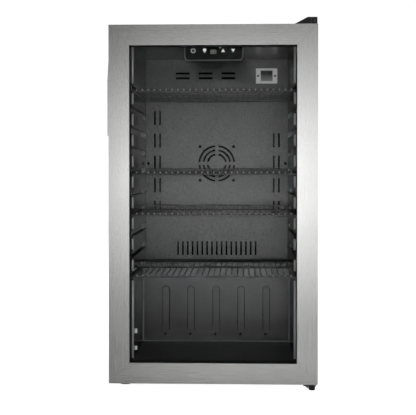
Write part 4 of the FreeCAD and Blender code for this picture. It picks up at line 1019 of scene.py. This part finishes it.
pale, pale_tree, pale_shader = new_finish("pale_floor")
pale_shader.inputs["Base Color"].default_value = (0.82, 0.82, 0.82, 1)
pale_shader.inputs["Roughness"].default_value = 0.9
pale_shader.inputs["Specular IOR Level"].default_value = 0.1
pale_shader.inputs["Emission Color"].default_value = (1, 1, 1, 1)
white_to_the_eye(pale_tree, pale_shader.inputs["Emission Strength"], 0.0, 1.0)
floor_mesh.materials.append(pale)
print("floor", 2 * FLOOR_SIDE, "m wide")

# %% [markdown]
# ## Sky
# The room round the cooler is white to the eye and dim as a light, for the same reason.

# %% Sky
SKY_LIGHT = 0.045
SKY_SEEN = 1.05
sky = bpy.data.worlds.new("studio")
sky.use_nodes = True
bpy.context.scene.world = sky
sky_back = sky.node_tree.nodes["Background"]
sky_back.inputs["Color"].default_value = (1, 1, 1, 1)
white_to_the_eye(sky.node_tree, sky_back.inputs["Strength"], SKY_LIGHT, SKY_SEEN)
print("sky gives", SKY_LIGHT, "and looks", SKY_SEEN)

# %% [markdown]
# ## Glowing cards
# What the brushed frame mirrors most are two large glowing cards behind the camera, bright in the
# middle and fading to nothing at their edges, so the steel turns from bright to dark along its height
# with no hard line. A spherical gradient on a plain sheet makes that glow, laid over a clear shader so
# that one card never hides the other.


# %% Glowing cards
def glow_card(name, centre, reach, power):
    """A hidden sheet that glows in the middle and fades smoothly to nothing at its edge."""
    data = bpy.data.meshes.new(name)
    data.from_pydata([(-reach[0], 0, -reach[1]), (reach[0], 0, -reach[1]),
                      (reach[0], 0, reach[1]), (-reach[0], 0, reach[1])], [], [(3, 2, 1, 0)])
    card = bpy.data.objects.new(name, data)
    card.location = centre
    card.visible_camera = False
    bpy.context.scene.collection.objects.link(card)
    finish = bpy.data.materials.new(name)
    finish.use_nodes = True
    tree = finish.node_tree
    tree.nodes.clear()
    out = tree.nodes.new("ShaderNodeOutputMaterial")
    shine = tree.nodes.new("ShaderNodeEmission")
    where = tree.nodes.new("ShaderNodeTexCoord")
    scale = tree.nodes.new("ShaderNodeMapping")
    scale.inputs["Scale"].default_value = (1 / reach[0], 1, 1 / reach[1])
    fall = tree.nodes.new("ShaderNodeTexGradient")
    fall.gradient_type = "SPHERICAL"
    ease = tree.nodes.new("ShaderNodeMapRange")
    ease.interpolation_type = "SMOOTHSTEP"
    ease.inputs["To Max"].default_value = power
    tree.links.new(where.outputs["Object"], scale.inputs["Vector"])
    tree.links.new(scale.outputs["Vector"], fall.inputs["Vector"])
    tree.links.new(fall.outputs["Fac"], ease.inputs["Value"])
    clear = tree.nodes.new("ShaderNodeBsdfTransparent")
    both = tree.nodes.new("ShaderNodeAddShader")
    tree.links.new(ease.outputs["Result"], shine.inputs["Strength"])
    tree.links.new(shine.outputs["Emission"], both.inputs[0])
    tree.links.new(clear.outputs["BSDF"], both.inputs[1])
    tree.links.new(both.outputs["Shader"], out.inputs["Surface"])
    data.materials.append(finish)
    print(name, "at", centre, "glows", power)


glow_card("wide_glow", (0.60, -4.2, 0.47), (2.6, 1.34), 1.74)
glow_card("near_glow", (-0.12, -4.15, 0.42), (0.70, 0.70), 4.9)

# %% [markdown]
# ## Lamps
# Big soft area lamps above, at both sides and behind give the black sheet its shape without lighting
# the inside. A spot makes a pool of light on the floor in front, which the bottom rail mirrors.


# %% Lamps
def soft_lamp(name, place, aim, size, power):
    light = bpy.data.lights.new(name, "AREA")
    light.shape = "RECTANGLE"
    light.size, light.size_y = size
    light.energy = power
    lamp = bpy.data.objects.new(name, light)
    lamp.location = place
    lamp.rotation_euler = (Vector(aim) - Vector(place)).to_track_quat("-Z", "Y").to_euler()
    bpy.context.scene.collection.objects.link(lamp)
    print(name, power, "W")


soft_lamp("ceiling_box", (0.0, 0.2, 3.0), (0.0, 0.2, 0.0), (4.0, 4.0), 12)
soft_lamp("left_strip", (-3.0, 0.6, 1.2), (0.0, 0.1, 0.5), (0.8, 2.2), 14)
soft_lamp("right_strip", (3.0, 0.6, 1.2), (0.0, 0.1, 0.5), (0.8, 2.2), 14)
soft_lamp("back_box", (1.3, 3.2, 1.9), (0.0, 0.2, 0.5), (1.2, 1.2), 34)

# %% Pool of light on the floor
pool_light = bpy.data.lights.new("floor_pool", "SPOT")
pool_light.spot_size = math.radians(32)
pool_light.spot_blend = 1.0
pool_light.shadow_soft_size = 0.15
pool_light.energy = 50
pool = bpy.data.objects.new("floor_pool", pool_light)
pool.location = (0.1, -1.3, 1.4)
pool.rotation_euler = (Vector((0.08, -0.55, 0.0)) - pool.location).to_track_quat("-Z", "Y").to_euler()
bpy.context.scene.collection.objects.link(pool)

# %% [markdown]
# ## Camera
# A long lens straight on keeps the door's edges parallel, and looks down by less than a degree.

# %% Camera
eye = bpy.data.cameras.new("eye")
eye.sensor_width = 36.0
eye.lens = 79.4
eye.shift_y = -0.0623
camera = bpy.data.objects.new("eye", eye)
camera.location = (0.058, door_front - 2.1, 0.503)
camera.rotation_euler = (math.radians(90 - 0.6), 0, math.radians(1.89))
bpy.context.scene.collection.objects.link(camera)
bpy.context.scene.camera = camera
bpy.context.scene.view_settings.view_transform = "Standard"
print("lens", round(eye.lens, 1), "mm,", round(camera.location.y - door_front, 2), "m from the door's front")
